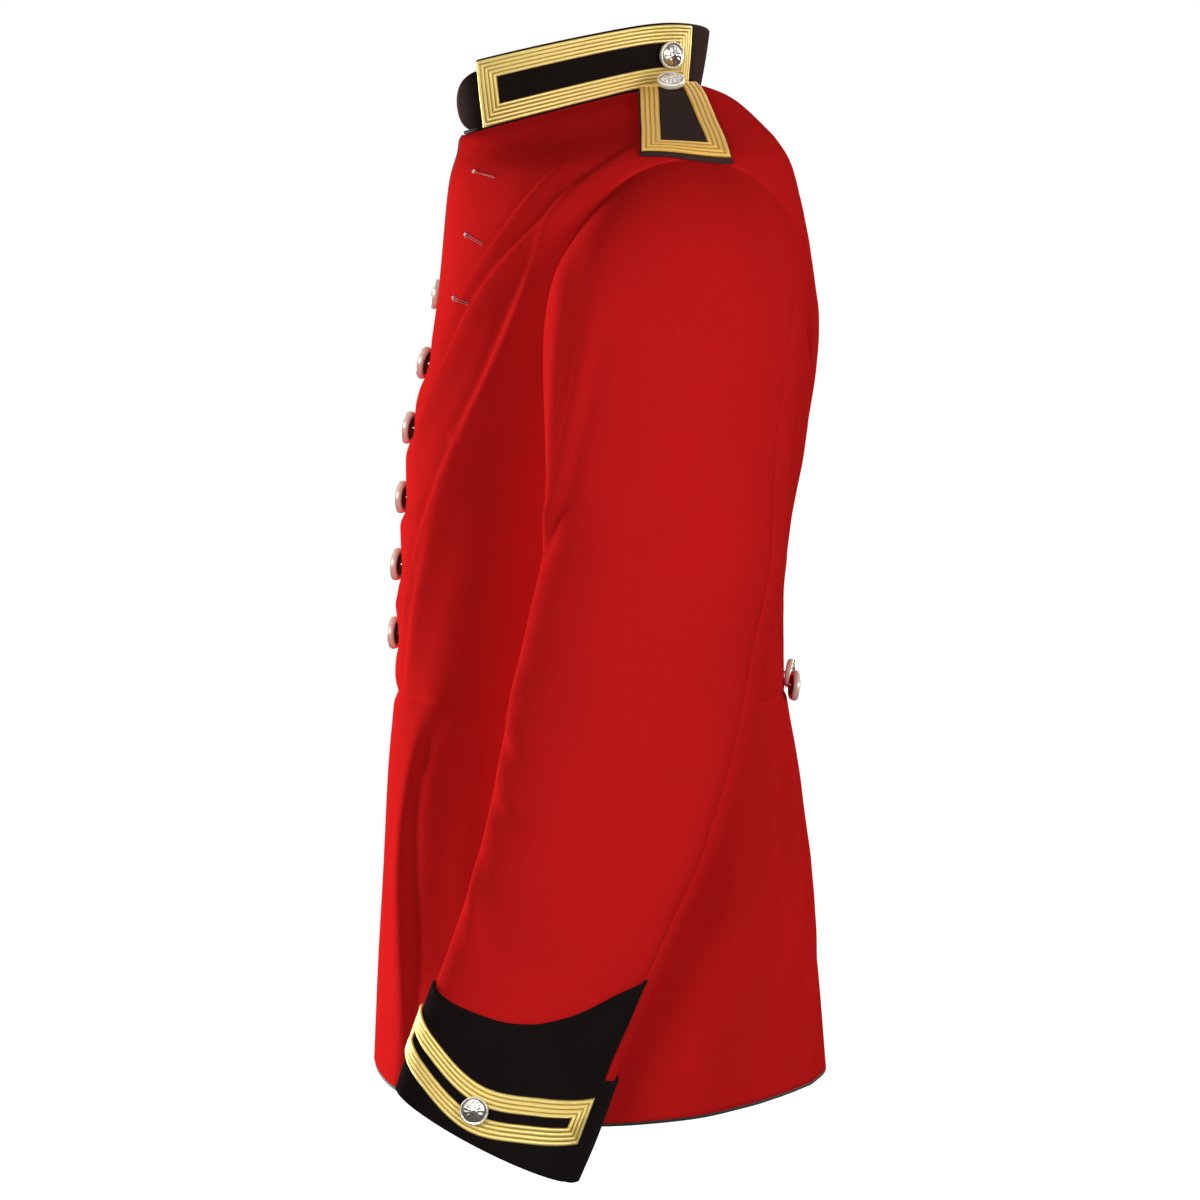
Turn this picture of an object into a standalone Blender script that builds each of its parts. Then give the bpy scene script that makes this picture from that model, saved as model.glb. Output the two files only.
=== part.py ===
"""A scarlet military dress tunic in its worn shape, with nobody in it.

Metres, +Z up. The wearer faces -Y and the wearer's left is +X. The origin is on the middle plane,
level with the shoulders at the neck, where a wearer's shoulders carry the garment.

Each cloth piece is a closed wall between an outer and an inner grid of points, both read from a
smooth surface. The body surface is a stack of level rings, the sleeve runs from the armhole through
rings down the arm, and the collar stands on the neckline. What lies on a piece (lace, straps, cuffs,
piping) is read from the same surface, moved out.
"""
import math

import bmesh
import bpy
import numpy as np
from mathutils import Vector

# ------------------------------------------------------------------ walls and gaps
CLOTH = 0.0022            # scarlet cloth with what backs it
FACING = 0.0018           # black facing cloth of cuffs and straps
COLLAR_CLOTH = 0.0026     # stiffened collar
GAP = 0.0003              # between pieces at a seam
BED = 0.0006              # under a piece that lies on a curved one
LACE_WIDTH = 0.0130
LACE_BASE = 0.0006        # thickness of the lace between its ridges
LACE_RIDGE = 0.0006       # height of a ridge above that
LACE_RIDGES = 3
LACE_BACK_POINTS = (1.0, 0.5, 0.0)   # shares of the band's width, on its underside
LACE_BED = 0.0009         # under lace and straps, which lie on stronger curves
PIPING_RADIUS = 0.0013
PIPING_SIDES = 6
PIPING_END = 0.004        # a cord stops this far above the end of its edge
NECK_PIPING_INSET = 0.05  # radians that the neck's cord stops short at each end

# ------------------------------------------------------------------ body
# One row for each level ring. down: length of cloth below the neckline; z: level of the ring behind
# the shoulder line; dip: slope that lowers its front; front_y, back_y, mid_y and half_width: its
# reach forward, back, the place of its widest point and half its width; front_n, back_n: how square
# its two halves are; open_x: how far the front edge stands off the middle, or laps past it (below 0).
BODY_COLUMNS = ("down", "z", "dip", "front_y", "back_y", "mid_y",
                "half_width", "front_n", "back_n", "open_x")
BODY_ROWS = (
    (0.000, 0.008, 0.250, -0.103, 0.070, 0.022, 0.062, 2.00, 2.0, 0.024),
    (0.030, 0.001, 0.220, -0.104, 0.087, 0.032, 0.091, 1.75, 2.1, 0.025),
    (0.075, -0.018, 0.160, -0.105, 0.110, 0.044, 0.136, 1.55, 2.3, 0.025),
    (0.135, -0.046, 0.110, -0.107, 0.130, 0.054, 0.194, 1.60, 2.8, 0.022),
    (0.165, -0.073, 0.075, -0.108, 0.137, 0.050, 0.205, 1.72, 3.2, 0.018),
    (0.200, -0.108, 0.040, -0.110, 0.143, 0.043, 0.202, 1.95, 3.5, 0.014),
    (0.250, -0.158, 0.010, -0.1155, 0.149, 0.035, 0.192, 2.20, 3.4, -0.012),
    (0.330, -0.236, 0.000, -0.1325, 0.142, 0.024, 0.179, 2.35, 2.9, -0.014),
    (0.390, -0.296, 0.000, -0.138, 0.132, 0.012, 0.169, 2.40, 2.6, -0.014),
    (0.440, -0.346, 0.000, -0.1415, 0.128, 0.006, 0.161, 2.40, 2.5, -0.014),
    (0.505, -0.410, 0.000, -0.1435, 0.129, 0.002, 0.157, 2.45, 2.5, -0.014),
    (0.560, -0.464, 0.000, -0.148, 0.136, 0.000, 0.167, 2.50, 2.35, -0.014),
    (0.640, -0.543, -0.015, -0.152, 0.146, -0.006, 0.183, 2.50, 2.1, -0.014),
    (0.710, -0.612, -0.030, -0.156, 0.154, -0.014, 0.193, 2.40, 1.8, -0.014),
    (0.780, -0.681, -0.060, -0.159, 0.160, -0.024, 0.198, 2.25, 1.6, -0.014),
)
DIP_END_Y = 0.045         # behind this the rings are level
DIP_SOFTNESS = 0.012
RIGHT_FALL = 0.018        # how far the open right front lies behind the left at the neck
FALL_END = 0.260          # where both fronts meet again
UNDERLAP = 0.0036         # how deep the right front lies under the left one
UNDERLAP_X = (0.018, 0.048)
BODY_SCALE = 0.155        # metres round the body for each radian
FRONT_SCALE = 0.135       # the same at the middle of the front
DIMPLE_DEPTH = 0.0065     # how far each fastened button pulls the fronts in
DIMPLE_RADIUS = 0.013

DOWN_SHOULDER = 0.135     # shoulder point
DOWN_UNDERARM = 0.3235
DOWN_WAIST = 0.505
DOWN_HEM = 0.780
ARMHOLE_FRONT = 0.072     # reach of the armhole ahead of the shoulder line
ARMHOLE_BACK = 0.090
ARMHOLE_STEP = 20         # degrees between points of the armhole
SHOULDER_ROWS = (0.0, 0.024, 0.050, 0.078, 0.106)
# Rows from under the arm to the waist: at each fastened button and between two of them.
WAIST_DOWNS = (0.3485, 0.3720, 0.3955, 0.4190, 0.4430, 0.4675, 0.4860, DOWN_WAIST)
SKIRT_ROWS = 8
SIDE_SEAM = (90, 94)      # degrees from the front, at the underarm and at the waist
CURVED_SEAM_TOP = 80      # armhole point where the curved back seam starts
CURVED_SEAM_WAIST = 158
CURVED_SEAM_START = 0.008   # radians behind the armhole
CURVED_SEAM_BEND = 0.75
VENT_HALF = 0.003         # half the opening of the centre back vent at the hem
EDGE_COLUMN = 0.10        # radians of a column beside an open front edge
EDGE_STEP = 0.01          # radians, to find which way an edge faces
SLOPE_STEP = 1e-3         # step that finds how a surface slopes
SEAM_SHARE = 0.65         # share of a seam's gap taken from each panel

FRONT_COLUMNS_COUNT = 14
SIDE_COLUMNS_COUNT = 3
BACK_COLUMNS_COUNT = 6
SKIRT_FRONT_COLUMNS = 10
SKIRT_BACK_COLUMNS = 8

# Soft folds as ridges on the body: from, through and to, as degrees from the front and cloth down
# from the neck, with the ridge's height and half-width.
FOLD_STEPS = 25
FOLD_TAPER = (0.08, 0.92)   # share of a half turn that fades a fold in and out
FOLD_TAPER_POWER = 0.7
FOLD_COLUMNS = ("angle0", "down0", "angle1", "down1", "angle2", "down2", "height", "width")
LEFT_FOLDS = (
    (66, 0.138, 42, 0.200, 14, 0.285, 0.0060, 0.012),
    (45, 0.128, 30, 0.180, 9, 0.255, 0.0045, 0.009),
    (56, 0.190, 42, 0.255, 28, 0.315, 0.0050, 0.011),
    (96, 0.370, 84, 0.420, 74, 0.485, 0.0030, 0.012),
    (166, 0.512, 165, 0.640, 163, 0.775, 0.0050, 0.009),
    (118, 0.560, 120, 0.660, 121, 0.775, 0.0050, 0.022),
    (62, 0.600, 60, 0.690, 60, 0.775, 0.0035, 0.020),
)
RIGHT_FOLDS = (
    (63, 0.142, 43, 0.205, 16, 0.292, 0.0055, 0.012),
    (47, 0.126, 33, 0.176, 12, 0.243, 0.0040, 0.010),
    (54, 0.198, 40, 0.262, 24, 0.330, 0.0050, 0.012),
    (98, 0.365, 86, 0.425, 72, 0.480, 0.0030, 0.012),
    (166, 0.512, 165, 0.640, 163, 0.775, 0.0050, 0.009),
    (120, 0.580, 122, 0.670, 124, 0.775, 0.0045, 0.022),
    (65, 0.590, 62, 0.690, 63, 0.775, 0.0035, 0.022),
)

# ------------------------------------------------------------------ sleeve
# One row for each ring. run: length down the arm from the ring under the armhole; y, z: its middle;
# half_width: reach to the front and the back; half_thick: reach out and in; drop: degrees its back
# hangs below its front.
ARM_COLUMNS = ("run", "x", "y", "z", "half_width", "half_thick", "drop")
ARM_ROWS = (
    (0.000, 0.2370, 0.0435, -0.262, 0.0775, 0.0440, 0.0),
    (0.028, 0.2380, 0.0433, -0.290, 0.0768, 0.0435, 3.0),
    (0.080, 0.2385, 0.0328, -0.341, 0.0773, 0.0420, 11.0),
    (0.139, 0.2380, 0.0206, -0.399, 0.0785, 0.0400, 12.5),
    (0.203, 0.2380, 0.0059, -0.461, 0.0755, 0.0380, 14.5),
    (0.265, 0.2390, -0.0135, -0.519, 0.0695, 0.0360, 19.0),
    (0.314, 0.2400, -0.0320, -0.566, 0.0665, 0.0340, 23.5),
    (0.352, 0.2400, -0.0459, -0.601, 0.0655, 0.0325, 24.5),
    (0.399, 0.2400, -0.0619, -0.645, 0.0655, 0.0315, 25.5),
    (0.430, 0.2400, -0.0728, -0.674, 0.0645, 0.0310, 27.0),
)
ARM_ROLL = 8              # degrees that a ring's outer side hangs below its inner side, at the cuff
ARM_END = 0.430
HEAD_ROWS = 6             # steps of the sleeve head, from the armhole to the first ring
HEAD_START = 0.0005       # the head starts this far outside the armhole
HEAD_FULLNESS = 1.15
HEAD_STEP = 0.004         # of the arm, to find which way it starts
# Way in which the head leaves the armhole, for each metre outwards.
HEAD_BACK = 0.05
HEAD_SPREAD = 0.12
HEAD_DROP = 0.12
HEAD_DROP_TOP = 0.30
HEAD_DROP_UNDER = 0.75
SLEEVE_RADIUS = 0.038     # where its seams run
FRONT_SEAM = 100          # degrees round the sleeve: 0 outside, 90 front, -90 back
HIND_SEAM = -60
ARM_STEPS = 10
ELBOW_STEP = 5            # of them, to where the upper arm ends
HEAD_REACH = 0.15         # of the sleeve head, from the armhole to its foot

# Height of the cuff above the sleeve's end, by the angle round the sleeve.
CUFF_COLUMNS = ("angle", "height")
CUFF_ROWS = ((-60, 0.136), (-44, 0.128), (-16, 0.095), (2, 0.077), (22, 0.070), (60, 0.070), (100, 0.074))
CUFF_UNDER_HEIGHT = 0.068
CUFF_STEPS = 4
CUFF_LACE_WIDTH = 0.0125
# Middle line of the slotted chevron on the cuff: angle round the sleeve and height above its end.
CHEVRON_COLUMNS = ("angle", "height")
CHEVRON_ROWS = ((-54, 0.041), (-20, 0.031), (14, 0.022), (55, 0.033), (94, 0.044))
CHEVRON_SLOT = 0.0065     # dark slot between its two laces
CHEVRON_STEPS = 11
CUFF_RADIUS = 0.055       # of the cuff's flat outer side
CUFF_LACE_BED = 0.0012

# ------------------------------------------------------------------ collar and straps
COLLAR_END = 19.5         # degrees from the front at the collar's front ends
# Height and outward lean of the collar, by the angle from the front.
COLLAR_COLUMNS = ("angle", "height", "lean")
COLLAR_ROWS = (
    (0, 0.0465, 0.0055),
    (60, 0.0430, 0.0045),
    (110, 0.0405, 0.0035),
    (150, 0.0380, 0.0050),
    (180, 0.0360, 0.0060),
)
COLLAR_HEIGHT = 0.044     # on average
COLLAR_FRONT_RADIUS = 0.113
COLLAR_REAR_RADIUS = 0.062
COLLAR_SEAM = 0.00036     # gap over the neckline
COLLAR_BACK_GAP = 0.006   # radians from the centre back
COLLAR_COLUMNS_COUNT = 16
COLLAR_LACE_START = 19.8
COLLAR_LACE_MARGIN = 0.02   # share of the collar's height left free at its two edges
COLLAR_LACE_STEPS = (13, 2)
COLLAR_LACE_END = 133     # degrees from the front where the lace frame ends
COLLAR_BUTTON = (112, 0.50)
TONGUE_BACK = 27          # degrees: the tongue starts behind the collar here
TONGUE_REACH = 12.5       # degrees that its round end stands ahead of the collar
TONGUE_MIDDLE = 0.42
TONGUE_HALF = 0.45
TONGUE_STEPS = (3, 8)

STRAP_DOWN = (0.014, 0.130)
STRAP_MIDDLE_Y = (0.046, 0.056)
STRAP_HALF = (0.0195, 0.0285)
STRAP_EDGE = 0.0025       # black edge that shows outside the lace at the outer end
STRAP_LACE_WIDTH = 0.0120
STRAP_STEPS = 6
STRAP_ACROSS = 4
STRAP_BUTTON_DOWN = 0.030
STRAP_LACE_INSET = 0.0008
STRAP_LACE_START = 0.02   # share of the strap's length
STRAP_TOP_BAND = 0.6      # width of the lace at the collar, as a share of the others

# ------------------------------------------------------------------ buttons
LARGE_BUTTON = 0.0105     # radius
SMALL_BUTTON = 0.0092
SHANK_RADIUS = 0.0016
SHANK = 0.0032            # length of a shank under the button's back
BUTTON_SIDES = 10
BUTTON_DOWNS = (0.2764, 0.3235, 0.3720, 0.4190, 0.4675)   # fastened ones, as cloth down from the neck
BUTTON_LEAN = 5           # degrees that these are turned away from the wearer's left
OPEN_BUTTON_DOWNS = (0.082, 0.172, 0.226)                 # open ones, on the right front
OPEN_BUTTON_IN = 0.013    # behind the right front's edge
WAIST_BUTTON = (163, 0.500)
WAIST_BUTTON_AXIS = (-0.16, 0.95, -0.12)
SEAT_STEP = 0.01          # to find which way a button faces
# Outline of a button over its shank: share of its radius, and height over the shank's end.
BUTTON_ROWS = (
    (0.72, 0.0006),
    (1.00, 0.0012),
    (1.00, 0.0020),
    (0.86, 0.0026),
    (0.55, 0.0045),
    (0.00, 0.0055),
)

# ------------------------------------------------------------------ materials: colour, roughness, metallic
FINISHES = {
    "scarlet_cloth": ((0.50, 0.010, 0.010, 1), 0.85, 0.0),
    "black_cloth": ((0.012, 0.010, 0.010, 1), 0.90, 0.0),
    "gold_lace": ((0.72, 0.48, 0.12, 1), 0.45, 0.6),
    "black_piping": ((0.015, 0.012, 0.012, 1), 0.85, 0.0),
    "silver_metal": ((0.75, 0.73, 0.70, 1), 0.25, 1.0),
}


class Table:
    """Rows with named columns, read between rows by a smooth curve that never overshoots them."""

    def __init__(self, columns, rows):
        values = np.array(rows, dtype=float)
        self.at = values[:, 0]
        self.values = dict(zip(columns, values.T))
        self.slopes = {name: self.find_slopes(column) for name, column in self.values.items()}

    def find_slopes(self, column):
        steps = np.diff(self.at)
        rises = np.diff(column) / steps
        slopes = np.zeros(len(column))
        slopes[0] = rises[0]
        slopes[-1] = rises[-1]
        for i in range(1, len(column) - 1):
            if rises[i - 1] * rises[i] > 0:
                before = 2 * steps[i] + steps[i - 1]
                after = steps[i] + 2 * steps[i - 1]
                slopes[i] = (before + after) / (before / rises[i - 1] + after / rises[i])
        return slopes

    def read(self, name, where):
        where = np.clip(np.asarray(where, dtype=float), self.at[0], self.at[-1])
        i = np.clip(np.searchsorted(self.at, where, side="right") - 1, 0, len(self.at) - 2)
        step = self.at[i + 1] - self.at[i]
        t = (where - self.at[i]) / step
        column = self.values[name]
        slopes = self.slopes[name]
        start = (1 + 2 * t) * (1 - t) ** 2 * column[i] + t * (1 - t) ** 2 * step * slopes[i]
        end = t ** 2 * (3 - 2 * t) * column[i + 1] + t ** 2 * (t - 1) * step * slopes[i + 1]
        return start + end


BODY = Table(BODY_COLUMNS, BODY_ROWS)
ARM = Table(ARM_COLUMNS, ARM_ROWS)
CUFF = Table(CUFF_COLUMNS, CUFF_ROWS)
CHEVRON = Table(CHEVRON_COLUMNS, CHEVRON_ROWS)
COLLAR = Table(COLLAR_COLUMNS, COLLAR_ROWS)


def ease(value):
    """0 to 1 with level ends."""
    value = np.clip(value, 0, 1)
    return value * value * (3 - 2 * value)


def blend(ends, t):
    return ends[0] + (ends[1] - ends[0]) * t


# ------------------------------------------------------------------ body surface
def fold_height(side, angle, down):
    """Height of the soft folds at a place of the body."""
    total = np.zeros(np.broadcast(angle, down).shape)
    across = BODY_SCALE * np.asarray(angle)
    for row in (LEFT_FOLDS if side > 0 else RIGHT_FOLDS):
        fold = dict(zip(FOLD_COLUMNS, row))
        nearest = np.full(total.shape, np.inf)
        taper = np.zeros(total.shape)
        for t in np.linspace(0, 1, FOLD_STEPS):
            weights = ((1 - t) ** 2, 2 * t * (1 - t), t * t)
            turn = sum(w * fold["angle%d" % k] for k, w in enumerate(weights))
            drop = sum(w * fold["down%d" % k] for k, w in enumerate(weights))
            far = (across - BODY_SCALE * math.radians(turn)) ** 2 + (down - drop) ** 2
            closer = far < nearest
            nearest = np.where(closer, far, nearest)
            taper = np.where(closer, math.sin(math.pi * blend(FOLD_TAPER, t)) ** FOLD_TAPER_POWER, taper)
        total = total + fold["height"] * taper * np.exp(-nearest / fold["width"] ** 2)
    for place in BUTTON_DOWNS:
        far = (FRONT_SCALE * np.asarray(angle)) ** 2 + (down - place) ** 2
        total = total - DIMPLE_DEPTH * np.exp(-far / DIMPLE_RADIUS ** 2)
    return total


def smooth_body(side, angle, down):
    """Point of the body surface without its folds."""
    front_y = BODY.read("front_y", down)
    mid_y = BODY.read("mid_y", down)
    width = BODY.read("half_width", down)
    ahead = np.cos(angle) > 0
    depth = np.where(ahead, mid_y - front_y, BODY.read("back_y", down) - mid_y)
    power = np.where(ahead, BODY.read("front_n", down), BODY.read("back_n", down))
    reach = (np.abs(np.sin(angle)) / width) ** power + (np.abs(np.cos(angle)) / depth) ** power
    reach = reach ** (-1 / power)
    y = mid_y - reach * np.cos(angle)
    dip = DIP_SOFTNESS * np.logaddexp(0, (DIP_END_Y - y) / DIP_SOFTNESS)
    z = BODY.read("z", down) - BODY.read("dip", down) * dip
    if side < 0:
        fall = RIGHT_FALL * (1 - ease(down / FALL_END))
        y = y + fall * np.clip((mid_y - y) / (mid_y - front_y), 0, 1) ** 2
    return np.stack(np.broadcast_arrays(side * reach * np.sin(angle), y, z), -1)


def outward(surface, side, u, v):
    """Unit direction across a surface at a place: outwards where u, v and it are a right-hand set."""
    along = surface(side, u + SLOPE_STEP, v) - surface(side, u - SLOPE_STEP, v)
    below = surface(side, u, v + SLOPE_STEP) - surface(side, u, v - SLOPE_STEP)
    normal = side * np.cross(along, below)
    return normal / np.linalg.norm(normal, axis=-1, keepdims=True)


def body(side, angle, down, lift=0.0):
    """Point of the body's outer face, or lifted off it."""
    base = smooth_body(side, angle, down)
    raised = fold_height(side, angle, down) + lift
    if side < 0:
        near = np.abs(base[..., 0]) * np.sign(np.sin(angle))
        raised = raised - UNDERLAP * (1 - ease((near - UNDERLAP_X[0]) / (UNDERLAP_X[1] - UNDERLAP_X[0])))
    return base - outward(smooth_body, side, angle, down) * np.asarray(raised)[..., None]


def angle_at_y(down, y):
    """Angle from the front at which a ring reaches a given y."""
    mid_y = float(BODY.read("mid_y", down))
    ahead = y < mid_y
    depth = abs(mid_y - float(BODY.read("front_y" if ahead else "back_y", down)))
    power = float(BODY.read("front_n" if ahead else "back_n", down))
    ratio = min(abs(y - mid_y) / depth, 0.999)
    x = float(BODY.read("half_width", down)) * (1 - ratio ** power) ** (1 / power)
    return math.atan2(x, mid_y - y)


def edge_angle(down):
    """Angle of the front edge: right of the middle plane where it laps over."""
    open_x = float(BODY.read("open_x", down))
    width = float(BODY.read("half_width", down))
    power = float(BODY.read("front_n", down))
    mid_y = float(BODY.read("mid_y", down))
    depth = mid_y - float(BODY.read("front_y", down))
    y_reach = depth * (1 - (abs(open_x) / width) ** power) ** (1 / power)
    return math.atan2(open_x, y_reach)


def armhole_down(turn):
    """Cloth down from the neck at an armhole point: 0 degrees at the shoulder, 180 under the arm."""
    return DOWN_SHOULDER + (DOWN_UNDERARM - DOWN_SHOULDER) * (1 - math.cos(math.radians(turn))) / 2


def armhole_angle(turn):
    """Angle round the body at an armhole point: 90 degrees at its front, 270 at its back."""
    down = armhole_down(turn)
    swing = math.sin(math.radians(turn))
    reach = ARMHOLE_FRONT if swing > 0 else ARMHOLE_BACK
    return angle_at_y(down, float(BODY.read("mid_y", down)) - reach * swing)


# ------------------------------------------------------------------ rows shared by the body's panels
ARMHOLE_TURNS = tuple(range(0, 181, ARMHOLE_STEP))
UPPER_DOWNS = SHOULDER_ROWS + tuple(armhole_down(turn) for turn in ARMHOLE_TURNS)
BODY_DOWNS = UPPER_DOWNS + WAIST_DOWNS
SKIRT_DOWNS = tuple(blend((DOWN_WAIST + GAP, DOWN_HEM), i / SKIRT_ROWS) for i in range(SKIRT_ROWS + 1))


def side_seam_angle(down):
    share = (down - DOWN_UNDERARM) / (DOWN_WAIST - DOWN_UNDERARM)
    return math.radians(blend(SIDE_SEAM, np.clip(share, 0, 1)))


def front_limit(index):
    """Angle of the front's outer edge at a body row: shoulder seam, armhole, then side seam."""
    if index < len(SHOULDER_ROWS):
        return math.pi / 2
    turn = (index - len(SHOULDER_ROWS)) * ARMHOLE_STEP
    if turn <= 180:
        return armhole_angle(turn)
    return side_seam_angle(BODY_DOWNS[index])


def armhole_back_limit(index):
    """Angle of the back edge of the armhole, and of the side seam under it."""
    if index < len(SHOULDER_ROWS):
        return math.pi / 2
    turn = (index - len(SHOULDER_ROWS)) * ARMHOLE_STEP
    if turn <= 180:
        return armhole_angle(360 - turn)
    return side_seam_angle(BODY_DOWNS[index])


def curved_seam_angle(down):
    """Angle of the curved seam from the armhole's back to the waist."""
    top = armhole_down(CURVED_SEAM_TOP)
    start = armhole_angle(360 - CURVED_SEAM_TOP) + CURVED_SEAM_START
    t = np.clip((down - top) / (DOWN_WAIST - top), 0, 1)
    return blend((start, math.radians(CURVED_SEAM_WAIST)), t ** CURVED_SEAM_BEND)


CURVED_SEAM_ROW = len(SHOULDER_ROWS) + CURVED_SEAM_TOP // ARMHOLE_STEP


# ------------------------------------------------------------------ sleeve surface
def arm_ring(side, turn, run):
    """Point of a ring down the arm. turn is in radians round the sleeve."""
    drop = np.radians(ARM.read("drop", run))
    roll = math.radians(ARM_ROLL) * ease(np.asarray(run) / ARM_END)
    out = ARM.read("half_thick", run) * np.cos(turn)
    back = -ARM.read("half_width", run) * np.sin(turn)
    x = ARM.read("x", run) + out * np.cos(roll)
    y = ARM.read("y", run) + back * np.cos(drop)
    z = ARM.read("z", run) - back * np.sin(drop) - out * np.sin(roll)
    return np.stack(np.broadcast_arrays(side * x, y, z), -1)


def sleeve_surface(side, turn, run):
    """Point of the sleeve. run is below 0 on the head, where -1 is the armhole."""
    turn, run = np.broadcast_arrays(np.asarray(turn, dtype=float), np.asarray(run, dtype=float))
    lower = arm_ring(side, turn, np.maximum(run, 0))
    if np.all(run >= 0):
        return lower
    start, leave = armhole_edge(side, turn)
    first = arm_ring(side, turn, 0 * run)
    below = arm_ring(side, turn, 0 * run + HEAD_STEP) - first
    below = below / np.linalg.norm(below, axis=-1, keepdims=True)
    reach = HEAD_FULLNESS * np.linalg.norm(first - start, axis=-1, keepdims=True)
    t = np.clip(1 + run, -0.01, 1)[..., None]
    head = (1 + 2 * t) * (1 - t) ** 2 * start + t * (1 - t) ** 2 * reach * leave
    head = head + t ** 2 * (3 - 2 * t) * first + t ** 2 * (t - 1) * reach * below
    return np.where((run < 0)[..., None], head, lower)


def armhole_edge(side, turn):
    """Start of the sleeve head at the armhole, and the direction in which it leaves."""
    degrees = np.degrees(turn).ravel()
    points = []
    for value in degrees:
        down = armhole_down(value)
        points.append(smooth_body(side, armhole_angle(value % 360), down))
    points = np.array(points).reshape(np.shape(turn) + (3,))
    up = np.clip(np.cos(turn), 0, 1) ** 2
    under = np.clip(-np.cos(turn), 0, 1) ** 2
    back = HEAD_BACK - HEAD_SPREAD * np.sin(turn)
    fall = HEAD_DROP + HEAD_DROP_TOP * up + HEAD_DROP_UNDER * under
    leave = np.stack((side * np.ones_like(turn), back, -fall), -1)
    leave = leave / np.linalg.norm(leave, axis=-1, keepdims=True)
    return points + HEAD_START * leave, leave


def sleeve(side, turn, run, lift=0.0):
    """Point of the sleeve's outer face, or lifted off it."""
    turn, run, lift = np.broadcast_arrays(turn, run, lift)
    return sleeve_surface(side, turn, run) + outward(sleeve_surface, side, turn, run) * lift[..., None]


# ------------------------------------------------------------------ collar and strap surfaces
def collar_surface(side, angle, up):
    """Point of the collar: angle from the front, up from 0 at the neckline to 1 at its top."""
    base = smooth_body(side, angle, 0 * np.asarray(angle, dtype=float))
    degrees = np.degrees(angle)
    out = np.stack((side * np.sin(angle), -np.cos(angle), 0 * np.asarray(angle)), -1)
    rise = np.stack(np.broadcast_arrays(0.0, 0.0, COLLAR.read("height", degrees) * up + COLLAR_SEAM), -1)
    return base + rise + out * (COLLAR.read("lean", degrees) * up)[..., None]


def collar(side, angle, up, lift=0.0):
    """Point of the collar's outer face, or lifted off it."""
    angle, up, lift = np.broadcast_arrays(angle, up, lift)
    return collar_surface(side, angle, up) + outward(collar_surface, side, angle, up) * lift[..., None]


def strap(side, across, along, lift=0.0):
    """Point above the shoulder: across from -1 (front) to 1, along from 0 (collar) to 1."""
    across, along, lift = np.broadcast_arrays(across, along, lift)
    points = []
    for q, t, up in zip(across.ravel(), along.ravel(), lift.ravel()):
        down = blend(STRAP_DOWN, t)
        y = blend(STRAP_MIDDLE_Y, t) + q * blend(STRAP_HALF, t)
        points.append(body(side, np.float64(angle_at_y(down, y)), np.float64(down), up))
    return np.array(points).reshape(across.shape + (3,))


# ------------------------------------------------------------------ solids
def material(name):
    found = bpy.data.materials.get(name)
    if found:
        return found
    colour, roughness, metallic = FINISHES[name]
    made = bpy.data.materials.new(name)
    made.use_nodes = True
    shader = made.node_tree.nodes["Principled BSDF"]
    shader.inputs["Base Color"].default_value = colour
    shader.inputs["Roughness"].default_value = roughness
    shader.inputs["Metallic"].default_value = metallic
    made.diffuse_color = colour
    return made


def add_solid(name, vertices, faces, finish):
    """Make one object from points and faces, with its faces turned outwards."""
    mesh = bpy.data.meshes.new(name)
    mesh.from_pydata([tuple(map(float, v)) for v in vertices], [], faces)
    shape = bmesh.new()
    shape.from_mesh(mesh)
    bmesh.ops.recalc_face_normals(shape, faces=shape.faces)
    shape.to_mesh(mesh)
    shape.free()
    mesh.shade_smooth()
    mesh.set_sharp_from_angle(angle=math.radians(40))
    mesh.materials.append(material(finish))
    made = bpy.data.objects.new(name, mesh)
    bpy.context.scene.collection.objects.link(made)
    return made


def add_wall(name, outer, inner, finish):
    """A closed wall between two grids of points with the same rows and columns."""
    rows, columns = outer.shape[:2]
    vertices = np.concatenate((outer.reshape(-1, 3), inner.reshape(-1, 3)))
    under = rows * columns

    def at(row, column):
        return row * columns + column

    faces = []
    for row in range(rows - 1):
        for column in range(columns - 1):
            quad = (at(row, column), at(row, column + 1), at(row + 1, column + 1), at(row + 1, column))
            faces.append(quad)
            faces.append(tuple(under + index for index in reversed(quad)))
    rim = [at(0, column) for column in range(columns)]
    rim += [at(row, columns - 1) for row in range(1, rows)]
    rim += [at(rows - 1, column) for column in range(columns - 2, -1, -1)]
    rim += [at(row, 0) for row in range(rows - 2, 0, -1)]
    for first, second in zip(rim, rim[1:] + rim[:1]):
        faces.append((second, first, under + first, under + second))
    return add_solid(name, vertices, faces, finish)


def add_sweep(name, sections, closed, finish):
    """A closed solid through loops of points, joined end to end or capped."""
    sections = np.array(sections)
    count, sides = sections.shape[:2]
    faces = []
    for i in range(count if closed else count - 1):
        first = i * sides
        second = (i + 1) % count * sides
        for k in range(sides):
            after = (k + 1) % sides
            faces.append((first + k, first + after, second + after, second + k))
    if not closed:
        faces.append(tuple(range(sides)))
        faces.append(tuple(reversed(range((count - 1) * sides, count * sides))))
    return add_solid(name, sections.reshape(-1, 3), faces, finish)


def spread(low, high, count):
    return np.linspace(low, high, count + 1)


# ------------------------------------------------------------------ panels of the body
def plain_columns(down, low, high, columns):
    inset = SEAM_SHARE * GAP / float(BODY.read("half_width", down))
    return spread(low + inset, high - inset, columns)


def front_columns(down, low, high, columns):
    """Columns of a front: two beside its edge lie over the same two of the other front."""
    inset = SEAM_SHARE * GAP / float(BODY.read("half_width", down))
    beside = -low if low < -EDGE_COLUMN / 2 else EDGE_COLUMN
    return np.concatenate(((low, low + beside), spread(low + 2 * beside, high - inset, columns - 2)))


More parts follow.
